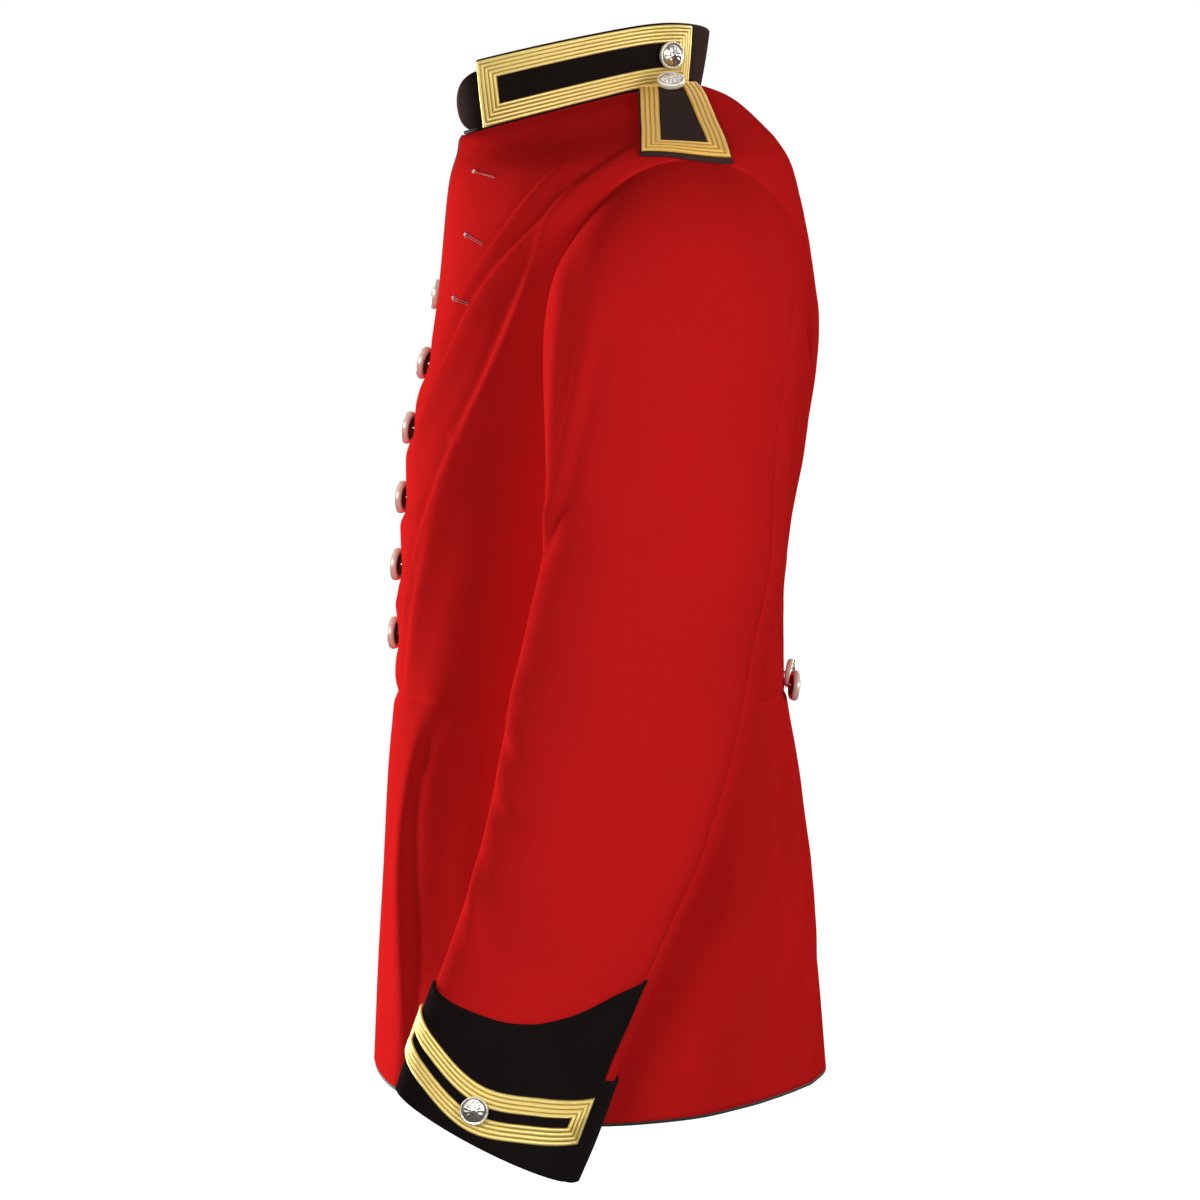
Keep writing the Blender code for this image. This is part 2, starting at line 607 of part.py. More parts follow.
def body_panel(name, side, rows, columns, low, high, place_columns=plain_columns):
    """A panel of the body: low and high give each row's two edge angles."""
    downs = np.array(rows)
    angles = np.array([place_columns(down, low(i), high(i), columns) for i, down in enumerate(rows)])
    downs = np.repeat(downs[:, None], columns + 1, 1)
    return add_wall(name, body(side, angles, downs), body(side, angles, downs, -CLOTH), "scarlet_cloth")


def add_body(side, word):
    body_panel("front_" + word, side, BODY_DOWNS, FRONT_COLUMNS_COUNT,
               lambda i: edge_angle(BODY_DOWNS[i]), front_limit, front_columns)
    lower = BODY_DOWNS[CURVED_SEAM_ROW:]
    body_panel("side_" + word, side, lower, SIDE_COLUMNS_COUNT,
               lambda i: armhole_back_limit(i + CURVED_SEAM_ROW), lambda i: curved_seam_angle(lower[i]))

    def back_low(i):
        return armhole_back_limit(i) if i < CURVED_SEAM_ROW else curved_seam_angle(BODY_DOWNS[i])

    body_panel("back_" + word, side, BODY_DOWNS, BACK_COLUMNS_COUNT, back_low, lambda i: math.pi)
    side_edge = math.radians(SIDE_SEAM[1])
    body_panel("skirt_front_" + word, side, SKIRT_DOWNS, SKIRT_FRONT_COLUMNS,
               lambda i: edge_angle(SKIRT_DOWNS[i]), lambda i: side_edge, front_columns)
    body_panel("skirt_back_" + word, side, SKIRT_DOWNS, SKIRT_BACK_COLUMNS, lambda i: side_edge, vent_angle)


def vent_angle(i):
    down = SKIRT_DOWNS[i]
    opening = VENT_HALF * i / SKIRT_ROWS
    return math.pi - opening / float(BODY.read("back_y", down) - BODY.read("mid_y", down))


# ------------------------------------------------------------------ sleeves and cuffs
def sleeve_lengths():
    """Rows of the head, the upper arm and the forearm, with a seam's gap between them."""
    head = spread(-1, 0, HEAD_ROWS)
    arm = spread(0, ARM_END, ARM_STEPS)
    upper = arm[:ELBOW_STEP + 1].copy()
    fore = arm[ELBOW_STEP:].copy()
    head[-1] = -GAP / 2 / HEAD_REACH
    upper[0] += GAP / 2
    upper[-1] -= GAP / 2
    fore[0] += GAP / 2
    return (("head_", head), ("arm_", upper), ("forearm_", fore))


def tube_wall(name, side, first, last, runs, outer_lift, wall, finish):
    """Part of the sleeve between two angles; runs is a row of lengths, or one for each angle."""
    count = (last - first) // ARMHOLE_STEP
    seam = GAP / 2 / SLEEVE_RADIUS
    turns = np.radians(spread(first, last, count))
    turns[0] += seam
    turns[-1] -= seam
    runs = np.array(runs)
    if runs.ndim == 1:
        runs = np.repeat(runs[:, None], count + 1, 1)
    grid = np.repeat(turns[None, :], runs.shape[0], 0)
    outer = sleeve(side, grid, runs, outer_lift)
    inner = sleeve(side, grid, runs, outer_lift - wall)
    return add_wall(name, outer, inner, finish)


def cuff_runs(heights, bottom):
    """Rows of a cuff from its upper edge to the sleeve's end."""
    return np.array([[blend((bottom - height, bottom), i / CUFF_STEPS) for height in heights]
                     for i in range(CUFF_STEPS + 1)])


def add_sleeve(side, word):
    around = FRONT_SEAM - HIND_SEAM
    for part, runs in sleeve_lengths():
        tube_wall("top_" + part + word, side, HIND_SEAM, FRONT_SEAM, runs, 0.0, CLOTH, "scarlet_cloth")
        tube_wall("under_" + part + word, side, FRONT_SEAM, HIND_SEAM + 360, runs, 0.0, CLOTH, "scarlet_cloth")
    heights = CUFF.read("height", spread(HIND_SEAM, FRONT_SEAM, around // ARMHOLE_STEP))
    lift = BED + FACING
    rows = cuff_runs(heights, ARM_END)
    tube_wall("cuff_top_" + word, side, HIND_SEAM, FRONT_SEAM, rows, lift, FACING, "black_cloth")
    heights = [CUFF_UNDER_HEIGHT] * ((360 - around) // ARMHOLE_STEP + 1)
    rows = cuff_runs(heights, ARM_END)
    tube_wall("cuff_under_" + word, side, FRONT_SEAM, HIND_SEAM + 360, rows, lift, FACING, "black_cloth")


# ------------------------------------------------------------------ collar
def add_collar(side, word):
    angles = spread(math.radians(COLLAR_END), math.pi - COLLAR_BACK_GAP, COLLAR_COLUMNS_COUNT)
    grid, ups = np.meshgrid(angles, spread(0, 1, 2))
    add_wall("collar_" + word, collar(side, grid, ups), collar(side, grid, ups, -COLLAR_CLOTH), "black_cloth")


def add_tongue():
    """D-shaped flap behind the left collar end, standing ahead of it."""
    across, up_steps = TONGUE_STEPS
    ups = spread(TONGUE_MIDDLE - TONGUE_HALF, TONGUE_MIDDLE + TONGUE_HALF, up_steps)
    rows = []
    for up in ups:
        bow = math.sqrt(max(0.0, 1 - ((up - TONGUE_MIDDLE) / TONGUE_HALF) ** 2))
        rows.append(spread(COLLAR_END - TONGUE_REACH * bow, TONGUE_BACK, across))
    angles = np.radians(np.array(rows))
    grid = np.repeat(ups[:, None], across + 1, 1)
    lift = -COLLAR_CLOTH - LACE_BED
    outer = collar(1, angles, grid, lift)
    add_wall("collar_tongue", outer, collar(1, angles, grid, lift - FACING), "black_cloth")


# ------------------------------------------------------------------ lace
def add_frame(name, place, outer, inner, lift):
    """A ridged lace band between two closed outlines, with mitred corners.

    place turns (across, along, lift) into a point; outer and inner are matching outline points.
    """
    sections = []
    profile = 2 * LACE_RIDGES
    for start, end in zip(np.array(outer, dtype=float), np.array(inner, dtype=float)):
        loop = []
        for k in range(profile + 1):
            u, v = start + (end - start) * k / profile
            loop.append(place(u, v, lift + LACE_BASE + (LACE_RIDGE if k % 2 else 0.0)))
        for share in LACE_BACK_POINTS:
            u, v = start + (end - start) * share
            loop.append(place(u, v, lift))
        sections.append(loop)
    return add_sweep(name, sections, True, "gold_lace")


def frame_outline(low, high, first, last, steps):
    """Closed outline of a four-sided frame, walked along its lower edge, end, upper edge and end."""
    across, up = steps
    points = [(u, low) for u in spread(first, last, across)]
    points += [(last, v) for v in spread(low, high, up)[1:]]
    points += [(u, high) for u in spread(last, first, across)[1:]]
    points += [(first, v) for v in spread(high, low, up)[1:-1]]
    return points


def add_collar_lace(side, word):
    first = COLLAR_LACE_START + math.degrees(LACE_WIDTH / COLLAR_FRONT_RADIUS)
    last = COLLAR_LACE_END - math.degrees(LACE_WIDTH / COLLAR_REAR_RADIUS)
    low = COLLAR_LACE_MARGIN
    band = low + LACE_WIDTH / COLLAR_HEIGHT
    outer = frame_outline(low, 1 - low, COLLAR_LACE_START, COLLAR_LACE_END, COLLAR_LACE_STEPS)
    inner = frame_outline(band, 1 - band, first, last, COLLAR_LACE_STEPS)

    def place(u, v, lift):
        return collar(side, math.radians(u), v, lift)

    add_frame("collar_lace_" + word, place, outer, inner, LACE_BED)


def add_strap(side, word):
    across, along = np.meshgrid(spread(-1, 1, STRAP_ACROSS), spread(0, 1, STRAP_STEPS))
    top = LACE_BED + FACING
    outer = strap(side, across, along, top)
    add_wall("strap_" + word, outer, strap(side, across, along, LACE_BED), "black_cloth")
    length = STRAP_DOWN[1] - STRAP_DOWN[0]
    edge = STRAP_EDGE / length
    band = STRAP_LACE_WIDTH / length

    def share(along_value, inset):
        return 1 - inset / blend(STRAP_HALF, along_value)

    def outline(inset, start, end):
        rows = spread(start, end, STRAP_STEPS)
        first = [(-share(t, inset), t) for t in rows]
        outer_end = [(q * share(end, inset), end) for q in (-0.5, 0.0, 0.5)]
        back = [(share(t, inset), t) for t in rows[::-1]]
        inner_end = [(q * share(start, inset), start) for q in (0.5, 0.0, -0.5)]
        return first + outer_end + back + inner_end

    def place(u, v, lift):
        return strap(side, np.float64(u), np.float64(v), lift)

    outer = outline(STRAP_LACE_INSET, STRAP_LACE_START, 1 - edge)
    start = STRAP_LACE_START + STRAP_TOP_BAND * band
    inner = outline(STRAP_LACE_INSET + STRAP_LACE_WIDTH, start, 1 - edge - band)
    add_frame("strap_lace_" + word, place, outer, inner, top + LACE_BED)


def add_cuff_lace(side, word):
    """A chevron of lace round a dark slot; its point is at the middle of the top sleeve."""
    reach = CHEVRON_SLOT / 2
    low, high = CHEVRON_ROWS[0][0], CHEVRON_ROWS[-1][0]
    arc = math.degrees(CUFF_LACE_WIDTH / CUFF_RADIUS)

    def line(offset, first, last):
        turns = spread(first, last, CHEVRON_STEPS)
        return [(turn, float(CHEVRON.read("height", turn)) + offset) for turn in turns]

    wide = reach + CUFF_LACE_WIDTH
    outer = line(-wide, low, high) + [(high, CHEVRON_ROWS[-1][1])]
    outer += line(wide, high, low) + [(low, CHEVRON_ROWS[0][1])]
    low_in, high_in = low + arc, high - arc
    inner = line(-reach, low_in, high_in) + [(high_in, float(CHEVRON.read("height", high_in)))]
    inner += line(reach, high_in, low_in) + [(low_in, float(CHEVRON.read("height", low_in)))]

    def place(u, v, lift):
        return sleeve(side, math.radians(u), ARM_END - v, lift)

    add_frame("cuff_lace_" + word, place, outer, inner, BED + FACING + CUFF_LACE_BED)


# ------------------------------------------------------------------ piping
def add_piping(name, points, ahead_hint):
    """A thin cord through points; ahead_hint is any direction across it."""
    points = np.array(points)
    sections = []
    for i, point in enumerate(points):
        before = points[max(i - 1, 0)]
        after = points[min(i + 1, len(points) - 1)]
        along = Vector(after - before).normalized()
        across = along.cross(Vector(ahead_hint)).normalized()
        other = along.cross(across).normalized()
        loop = []
        for k in range(PIPING_SIDES):
            turn = 2 * math.pi * k / PIPING_SIDES
            offset = across * math.cos(turn) + other * math.sin(turn)
            loop.append(np.array(Vector(point) + offset * PIPING_RADIUS))
        sections.append(loop)
    return add_sweep(name, sections, False, "black_piping")


def edge_line(side, downs, margin):
    """Points just outside the front edge of a side."""
    points = []
    for down in downs:
        angle = edge_angle(down)
        inside = body(side, np.float64(angle + EDGE_STEP), np.float64(down), -CLOTH / 2)
        edge = body(side, np.float64(angle), np.float64(down), -CLOTH / 2)
        away = (edge - inside) / np.linalg.norm(edge - inside)
        points.append(edge + away * margin)
    return points


def add_piping_set():
    margin = PIPING_RADIUS + GAP
    across = (1, 0, 0)
    front = BODY_DOWNS[:-1] + (DOWN_WAIST - PIPING_END,)
    add_piping("piping_front_left", edge_line(1, front, margin), across)
    skirt = SKIRT_DOWNS[:-1] + (DOWN_HEM - PIPING_END,)
    add_piping("piping_skirt_left", edge_line(1, skirt, margin), across)
    turns = spread(edge_angle(0.0) + NECK_PIPING_INSET, math.radians(COLLAR_END) - NECK_PIPING_INSET, 3)
    above = np.array((0, 0, margin + LACE_BED))
    neck = [body(1, turn, np.float64(0.0), -CLOTH / 2) + above for turn in turns]
    add_piping("piping_neck_left", neck, across)
    for side, word in ((1, "left"), (-1, "right")):
        front = spread(edge_angle(DOWN_HEM), math.radians(SIDE_SEAM[1]), SKIRT_FRONT_COLUMNS)
        back = spread(math.radians(SIDE_SEAM[1]), vent_angle(SKIRT_ROWS), SKIRT_BACK_COLUMNS)[1:]
        hem = [body(side, angle, np.float64(DOWN_HEM), -CLOTH / 2) - np.array((0, 0, margin))
               for angle in np.concatenate((front, back))]
        if side < 0:
            hem = hem[1:]
        add_piping("piping_hem_" + word, hem, (0, 0, 1))


# ------------------------------------------------------------------ buttons
def add_button(name, foot, axis, radius):
    """A domed button on its shank: foot is where the shank starts, axis the way it faces."""
    profile = [(0.0, 0.0), (SHANK_RADIUS, 0.0), (SHANK_RADIUS, SHANK)]
    profile += [(share * radius, SHANK + height) for share, height in BUTTON_ROWS]
    turn = Vector((0, 0, 1)).rotation_difference(Vector(axis)).to_matrix()
    start = Vector(foot)
    vertices = []
    rings = []
    for r, h in profile:
        count = 1 if r == 0.0 else BUTTON_SIDES
        rings.append(range(len(vertices), len(vertices) + count))
        for k in range(count):
            angle = 2 * math.pi * k / BUTTON_SIDES
            vertices.append(start + turn @ Vector((r * math.cos(angle), r * math.sin(angle), h)))
    faces = []
    for lower, upper in zip(rings, rings[1:]):
        for k in range(BUTTON_SIDES):
            after = (k + 1) % BUTTON_SIDES
            below = (lower[k % len(lower)], lower[after % len(lower)])
            above = (upper[after % len(upper)], upper[k % len(upper)])
            faces.append(tuple(dict.fromkeys(below + above)))
    return add_solid(name, vertices, faces, "silver_metal")


def seat(surface, side, u, v, lift):
    """Foot and facing of a button on a surface."""
    low = surface(side, np.float64(u), np.float64(v), lift)
    high = surface(side, np.float64(u), np.float64(v), lift + SEAT_STEP)
    return low, (high - low) / np.linalg.norm(high - low)


def add_buttons():
    for number, down in enumerate(OPEN_BUTTON_DOWNS):
        angle = edge_angle(down) + OPEN_BUTTON_IN / FRONT_SCALE
        foot, axis = seat(body, -1, angle, down, BED)
        add_button("button_front_%d" % (number + 1), foot, axis, LARGE_BUTTON)
    lean = np.array((-math.sin(math.radians(BUTTON_LEAN)), 0, 0))
    for number, down in enumerate(BUTTON_DOWNS):
        foot, axis = seat(body, 1, 0.0, down, 2 * BED)
        axis = Vector(axis + lean).normalized()
        add_button("button_front_%d" % (number + 1 + len(OPEN_BUTTON_DOWNS)), foot, axis, LARGE_BUTTON)
    for side, word in ((1, "left"), (-1, "right")):
        foot, axis = seat(collar, side, math.radians(COLLAR_BUTTON[0]), COLLAR_BUTTON[1], GAP)
        add_button("button_collar_" + word, foot, axis, SMALL_BUTTON)
        along = (STRAP_BUTTON_DOWN - STRAP_DOWN[0]) / (STRAP_DOWN[1] - STRAP_DOWN[0])
        foot, axis = seat(strap, side, 0.0, along, LACE_BED + FACING + GAP)
        add_button("button_strap_" + word, foot, axis, SMALL_BUTTON)
        foot, axis = seat(sleeve, side, math.radians(CHEVRON_ROWS[2][0]), ARM_END - CHEVRON_ROWS[2][1],
                          BED + FACING + GAP)
        add_button("button_cuff_" + word, foot, axis, SMALL_BUTTON)
        foot, _ = seat(body, side, math.radians(WAIST_BUTTON[0]), WAIST_BUTTON[1], 2 * BED)
        droop = (side * WAIST_BUTTON_AXIS[0], WAIST_BUTTON_AXIS[1], WAIST_BUTTON_AXIS[2])
        add_button("button_waist_" + word, foot, Vector(droop).normalized(), LARGE_BUTTON)


def main():
    for old in list(bpy.data.objects):
        bpy.data.objects.remove(old)
    for side, word in ((1, "left"), (-1, "right")):
        add_body(side, word)
        add_sleeve(side, word)
        add_collar(side, word)
        add_collar_lace(side, word)
        add_strap(side, word)
        add_cuff_lace(side, word)
    add_tongue()
    add_piping_set()
    add_buttons()


main()
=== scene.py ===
"""Looks of a scarlet military dress tunic in its worn shape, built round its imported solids.

Metres, +Z up. The wearer faces -Y and the wearer's left is +X. Every cloth piece is a thin shell on the
same smooth surfaces as its solid, sampled more finely, with soft creases, rolled seams and turned edges.
Places on the body are an angle from the front and the cloth's length down from the neckline; places on
a sleeve are an angle round it and the length down the arm.
"""
from __future__ import annotations

import logging
import math
from dataclasses import dataclass
from enum import Enum
from typing import Callable, Sequence

import bpy
import numpy as np
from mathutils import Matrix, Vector


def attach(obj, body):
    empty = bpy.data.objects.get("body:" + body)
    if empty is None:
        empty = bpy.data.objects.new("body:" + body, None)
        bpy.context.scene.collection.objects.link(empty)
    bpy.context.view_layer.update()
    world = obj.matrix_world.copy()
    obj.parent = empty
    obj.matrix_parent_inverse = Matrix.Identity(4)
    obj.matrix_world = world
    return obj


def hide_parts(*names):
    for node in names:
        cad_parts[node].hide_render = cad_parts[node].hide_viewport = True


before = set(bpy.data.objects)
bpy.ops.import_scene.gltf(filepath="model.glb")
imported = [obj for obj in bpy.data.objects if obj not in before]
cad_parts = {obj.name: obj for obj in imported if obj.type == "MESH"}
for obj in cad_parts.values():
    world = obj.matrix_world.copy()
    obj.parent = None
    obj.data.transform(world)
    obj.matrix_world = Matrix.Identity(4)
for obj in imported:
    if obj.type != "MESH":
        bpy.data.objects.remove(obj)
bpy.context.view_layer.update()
LOG = logging.getLogger("tunic")

Array = np.ndarray
Values = Array | float
Surface = Callable[..., Array]
Outline = list[tuple[float, float]]
Faces = list[tuple[int, ...]]
Piece = bpy.types.Object
Material = bpy.types.Material

# ---- walls, as in the solids
CLOTH = 0.0022
FACING = 0.0018
COLLAR_CLOTH = 0.0026
GAP = 0.0003
BED = 0.0006
LACE_BED = 0.0009
LACE_BASE = 0.0006
LACE_RIDGE = 0.0006
COLLAR_RIDGES = 5         # of the collar's lace
LACE_RIDGES = 4           # of the narrower laces
PIPING_RADIUS = 0.0013

# ---- body rings, as in the solids
BODY_COLUMNS = ("down", "z", "dip", "front_y", "back_y", "mid_y",
                "half_width", "front_n", "back_n", "open_x")
BODY_ROWS = (
    (0.000, 0.008, 0.250, -0.103, 0.070, 0.022, 0.062, 2.00, 2.0, 0.024),
    (0.030, 0.001, 0.220, -0.104, 0.087, 0.032, 0.091, 1.75, 2.1, 0.025),
    (0.075, -0.018, 0.160, -0.105, 0.110, 0.044, 0.136, 1.55, 2.3, 0.025),
    (0.135, -0.046, 0.110, -0.107, 0.130, 0.054, 0.194, 1.60, 2.8, 0.022),
    (0.165, -0.073, 0.075, -0.108, 0.137, 0.050, 0.205, 1.72, 3.2, 0.018),
    (0.200, -0.108, 0.040, -0.110, 0.143, 0.043, 0.202, 1.95, 3.5, 0.014),
    (0.250, -0.158, 0.010, -0.1155, 0.149, 0.035, 0.192, 2.20, 3.4, -0.012),
    (0.330, -0.236, 0.000, -0.1325, 0.142, 0.024, 0.179, 2.35, 2.9, -0.014),
    (0.390, -0.296, 0.000, -0.138, 0.132, 0.012, 0.169, 2.40, 2.6, -0.014),
    (0.440, -0.346, 0.000, -0.1415, 0.128, 0.006, 0.161, 2.40, 2.5, -0.014),
    (0.505, -0.410, 0.000, -0.1435, 0.129, 0.002, 0.157, 2.45, 2.5, -0.014),
    (0.560, -0.464, 0.000, -0.148, 0.136, 0.000, 0.167, 2.50, 2.35, -0.014),
    (0.640, -0.543, -0.015, -0.152, 0.146, -0.006, 0.183, 2.50, 2.1, -0.014),
    (0.710, -0.612, -0.030, -0.156, 0.154, -0.014, 0.193, 2.40, 1.8, -0.014),
    (0.780, -0.681, -0.060, -0.159, 0.160, -0.024, 0.198, 2.25, 1.6, -0.014),
)
DIP_END_Y = 0.045
DIP_SOFTNESS = 0.012
RIGHT_FALL = 0.018
FALL_END = 0.260
UNDERLAP = 0.0036
UNDERLAP_X = (0.018, 0.048)
BODY_SCALE = 0.155
FRONT_SCALE = 0.135
DIMPLE_DEPTH = 0.0056
DIMPLE_REACH = (0.030, 0.0105)
NECK_CALM = 0.022          # creases die out within this length of the neckline
BACK_CALM = 0.20           # and within this angle of the centre back seam
WAIST_DENT = 0.0060        # a small notch in the front edges where skirt and fronts meet
WAIST_DENT_REACH = (0.030, 0.0055)
DOWN_SHOULDER = 0.135
DOWN_UNDERARM = 0.3235
DOWN_WAIST = 0.505
DOWN_HEM = 0.780
ARMHOLE_FRONT = 0.072
ARMHOLE_BACK = 0.090
SIDE_SEAM = (90, 94)
CURVED_SEAM_TOP = 80
CURVED_SEAM_WAIST = 158
CURVED_SEAM_START = 0.008
CURVED_SEAM_BEND = 0.75
VENT_HALF = 0.003
SLOPE_STEP = 1e-3
MOST_RATIO = 0.999        # of a ring's depth at which an angle is looked for

# ---- sleeve rings, as in the solids
ARM_COLUMNS = ("run", "x", "y", "z", "half_width", "half_thick", "drop")
ARM_ROWS = (
    (0.000, 0.2370, 0.0435, -0.262, 0.0775, 0.0440, 0.0),
    (0.028, 0.2380, 0.0433, -0.290, 0.0768, 0.0435, 3.0),
    (0.080, 0.2385, 0.0328, -0.341, 0.0773, 0.0420, 11.0),
    (0.139, 0.2380, 0.0206, -0.399, 0.0785, 0.0400, 12.5),
    (0.203, 0.2380, 0.0059, -0.461, 0.0755, 0.0380, 14.5),
    (0.265, 0.2390, -0.0135, -0.519, 0.0695, 0.0360, 19.0),
    (0.314, 0.2400, -0.0320, -0.566, 0.0665, 0.0340, 23.5),
    (0.352, 0.2400, -0.0459, -0.601, 0.0655, 0.0325, 24.5),
    (0.399, 0.2400, -0.0619, -0.645, 0.0655, 0.0315, 25.5),
    (0.430, 0.2400, -0.0728, -0.674, 0.0645, 0.0310, 27.0),
)
ARM_ROLL = 8
ARM_END = 0.430
ARM_SCALE = 0.056         # metres round the sleeve for each radian
HEAD_LENGTH = 0.10        # of the sleeve head, which runs from -1 to 0
HEAD_FULLNESS = 1.15
HEAD_STEP = 0.004
HEAD_BACK = 0.05
HEAD_SPREAD = 0.12
HEAD_DROP = 0.12
HEAD_DROP_TOP = 0.30
HEAD_DROP_UNDER = 0.75
FRONT_SEAM = 100
HIND_SEAM = -60
SLEEVE_PARTS = ("head", "arm", "forearm")
CUFF_COLUMNS = ("angle", "height")
CUFF_ROWS = ((-60, 0.136), (-44, 0.127), (-16, 0.100), (2, 0.0865), (22, 0.0790), (60, 0.0745),
             (100, 0.076))
CUFF_UNDER_HEIGHT = 0.068
CUFF_LACE_WIDTH = 0.0125
CUFF_RADIUS = 0.055
CHEVRON_ROWS = ((-54, 0.041), (-20, 0.031), (14, 0.022), (55, 0.033), (94, 0.044))
CHEVRON_SLOT = 0.0065

# ---- collar and straps, as in the solids
COLLAR_END = 19.5
COLLAR_COLUMNS = ("angle", "height", "lean")
COLLAR_ROWS = (
    (0, 0.0465, 0.0055),
    (60, 0.0430, 0.0045),
    (110, 0.0405, 0.0035),
    (150, 0.0380, 0.0050),
    (180, 0.0360, 0.0060),
)
COLLAR_HEIGHT = 0.044
COLLAR_SEAM = 0.00036
COLLAR_FRONT_RADIUS = 0.113
COLLAR_REAR_RADIUS = 0.062
COLLAR_LACE_START = 19.8
COLLAR_LACE_END = 133
COLLAR_BUTTON = (112, 0.50)
LACE_WIDTH = 0.0130
TONGUE_BACK = 27
TONGUE_REACH = 12.5
TONGUE_MIDDLE = 0.42
TONGUE_HALF = 0.45
STRAP_DOWN = (0.014, 0.130)
STRAP_MIDDLE_Y = (0.046, 0.056)
STRAP_HALF = (0.0195, 0.0285)
STRAP_SLANT = 0.0095      # how far its rear corner hangs beyond the front one
STRAP_EDGE = 0.0025
STRAP_LACE_WIDTH = 0.0120
STRAP_LACE_INSET = 0.0008
STRAP_LACE_START = 0.02
STRAP_TOP_BAND = 0.6
STRAP_BUTTON_DOWN = 0.030

# ---- buttons, as in the solids
LARGE_BUTTON = 0.0105
SMALL_BUTTON = 0.0092
SHANK = 0.0032
BUTTON_DOWNS = (0.2764, 0.3235, 0.3720, 0.4190, 0.4675)
BUTTON_LEAN = 20
LARGE_FACE = 0.0115       # visible radius of a large button, with its rolled edge
STRAP_BUTTON_LEAN = 0.30
OPEN_BUTTON_DOWNS = (0.082, 0.172, 0.226)
OPEN_BUTTON_IN = 0.013
WAIST_BUTTON = (163, 0.500)
WAIST_BUTTON_AXIS = (-0.16, 0.95, -0.12)

# ---- fineness of the shells
CELL = 0.0036             # side of a cell of cloth
FRONT_CELL = 0.0030
SHARP_ANGLE = 62          # degrees between faces that meet in an edge
EDGE_ROUND = 0.85         # how far an open edge stands out, as a share of half its wall
SEAM_ROLL = 0.0012        # how far cloth sinks into a seam
SEAM_ROLL_WIDTH = 0.0026
WAVE_SIZES = 3            # of the cloth's soft unevenness
WAVES = 4                 # of each size
WAVE_FINER = 1.9
WAVE_LOWER = 1.7
WAVE_SHARE = 5.0


class Side(Enum):
    """Half of the tunic, as the wearer has it."""

    LEFT = 1
    RIGHT = -1

    @property
    def word(self) -> str:
        """Name of the half."""
        return self.name.lower()


class Edge(Enum):
    """What a panel's edge is: sewn to its neighbour, or turned and open."""

    SEAM = 0
    OPEN = 1


Edges = dict[str, Edge]


def curve(t: Values, ends: tuple[Values, Values], slopes: tuple[Values, Values]) -> Array:
    """Place at a share t of a smooth curve, from its ends and its slopes there."""
    start = (1 + 2 * t) * (1 - t) ** 2 * ends[0] + t * (1 - t) ** 2 * slopes[0]
    return start + (t ** 2 * (3 - 2 * t) * ends[1] + t ** 2 * (t - 1) * slopes[1])


class Table:
    """Rows with named columns, read between rows by a smooth curve that never overshoots them."""

    def __init__(self, columns: Sequence[str], rows: Sequence[Sequence[float]]) -> None:
        """Read the rows and find the curve's slopes.

        Args:
            columns: name of each column; the first is where the row stands.
            rows: the rows, in rising order of their first value.
        """
        values = np.array(rows, dtype=float)
        self.at = values[:, 0]
        self.values = dict(zip(columns, values.T))
        self.slopes = {name: self.find_slopes(column) for name, column in self.values.items()}

    def find_slopes(self, column: Array) -> Array:
        """Slopes of one column's curve at its rows.

        Args:
            column: the column's values.

        Returns:
            One slope for each row.
        """
        steps = np.diff(self.at)
        rises = np.diff(column) / steps
        slopes = np.zeros(len(column))
        slopes[0], slopes[-1] = rises[0], rises[-1]
        for i in range(1, len(column) - 1):
            if rises[i - 1] * rises[i] > 0:
                before = 2 * steps[i] + steps[i - 1]
                after = steps[i] + 2 * steps[i - 1]
                slopes[i] = (before + after) / (before / rises[i - 1] + after / rises[i])
        return slopes

    def read(self, name: str, where: Values) -> Array:
        """Value of a column at a place between the rows.

        Args:
            name: the column.
            where: one place or many.

        Returns:
            The values, in the shape of where.
        """
        where = np.clip(np.asarray(where, dtype=float), self.at[0], self.at[-1])
        i = np.clip(np.searchsorted(self.at, where, side="right") - 1, 0, len(self.at) - 2)
        step = self.at[i + 1] - self.at[i]
        t = (where - self.at[i]) / step
        column, slopes = self.values[name], self.slopes[name]
        return curve(t, (column[i], column[i + 1]), (step * slopes[i], step * slopes[i + 1]))

    def one(self, name: str, where: float) -> float:
        """Value of a column at one place, as a plain number."""
        return float(self.read(name, where))


BODY = Table(BODY_COLUMNS, BODY_ROWS)
ARM = Table(ARM_COLUMNS, ARM_ROWS)
CUFF = Table(CUFF_COLUMNS, CUFF_ROWS)
CHEVRON = Table(CUFF_COLUMNS, CHEVRON_ROWS)
COLLAR = Table(COLLAR_COLUMNS, COLLAR_ROWS)


def ease(value: Values) -> Array:
    """0 to 1 with level ends."""
    value = np.clip(value, 0, 1)
    return value * value * (3 - 2 * value)


def blend(ends: Sequence[float], t: Values) -> Values:
    """Value a share t of the way between two ends."""
    return ends[0] + (ends[1] - ends[0]) * t


def unit(vectors: Array) -> Array:
    """The same directions with length 1."""
    return vectors / np.linalg.norm(vectors, axis=-1, keepdims=True)


def lengths_to(points: Array) -> Array:
    """Length along a line of points, from the first to each."""
    return np.concatenate(((0.0,), np.cumsum(np.linalg.norm(np.diff(points, axis=0), axis=1))))


def circle(count: int) -> Array:
    """Equal turns round a circle, in radians."""
    return np.linspace(0, 2 * math.pi, count, endpoint=False)


def match(*values: Values) -> list[Array]:
    """Values as arrays of one shape."""
    return np.broadcast_arrays(*(np.asarray(value, float) for value in values))


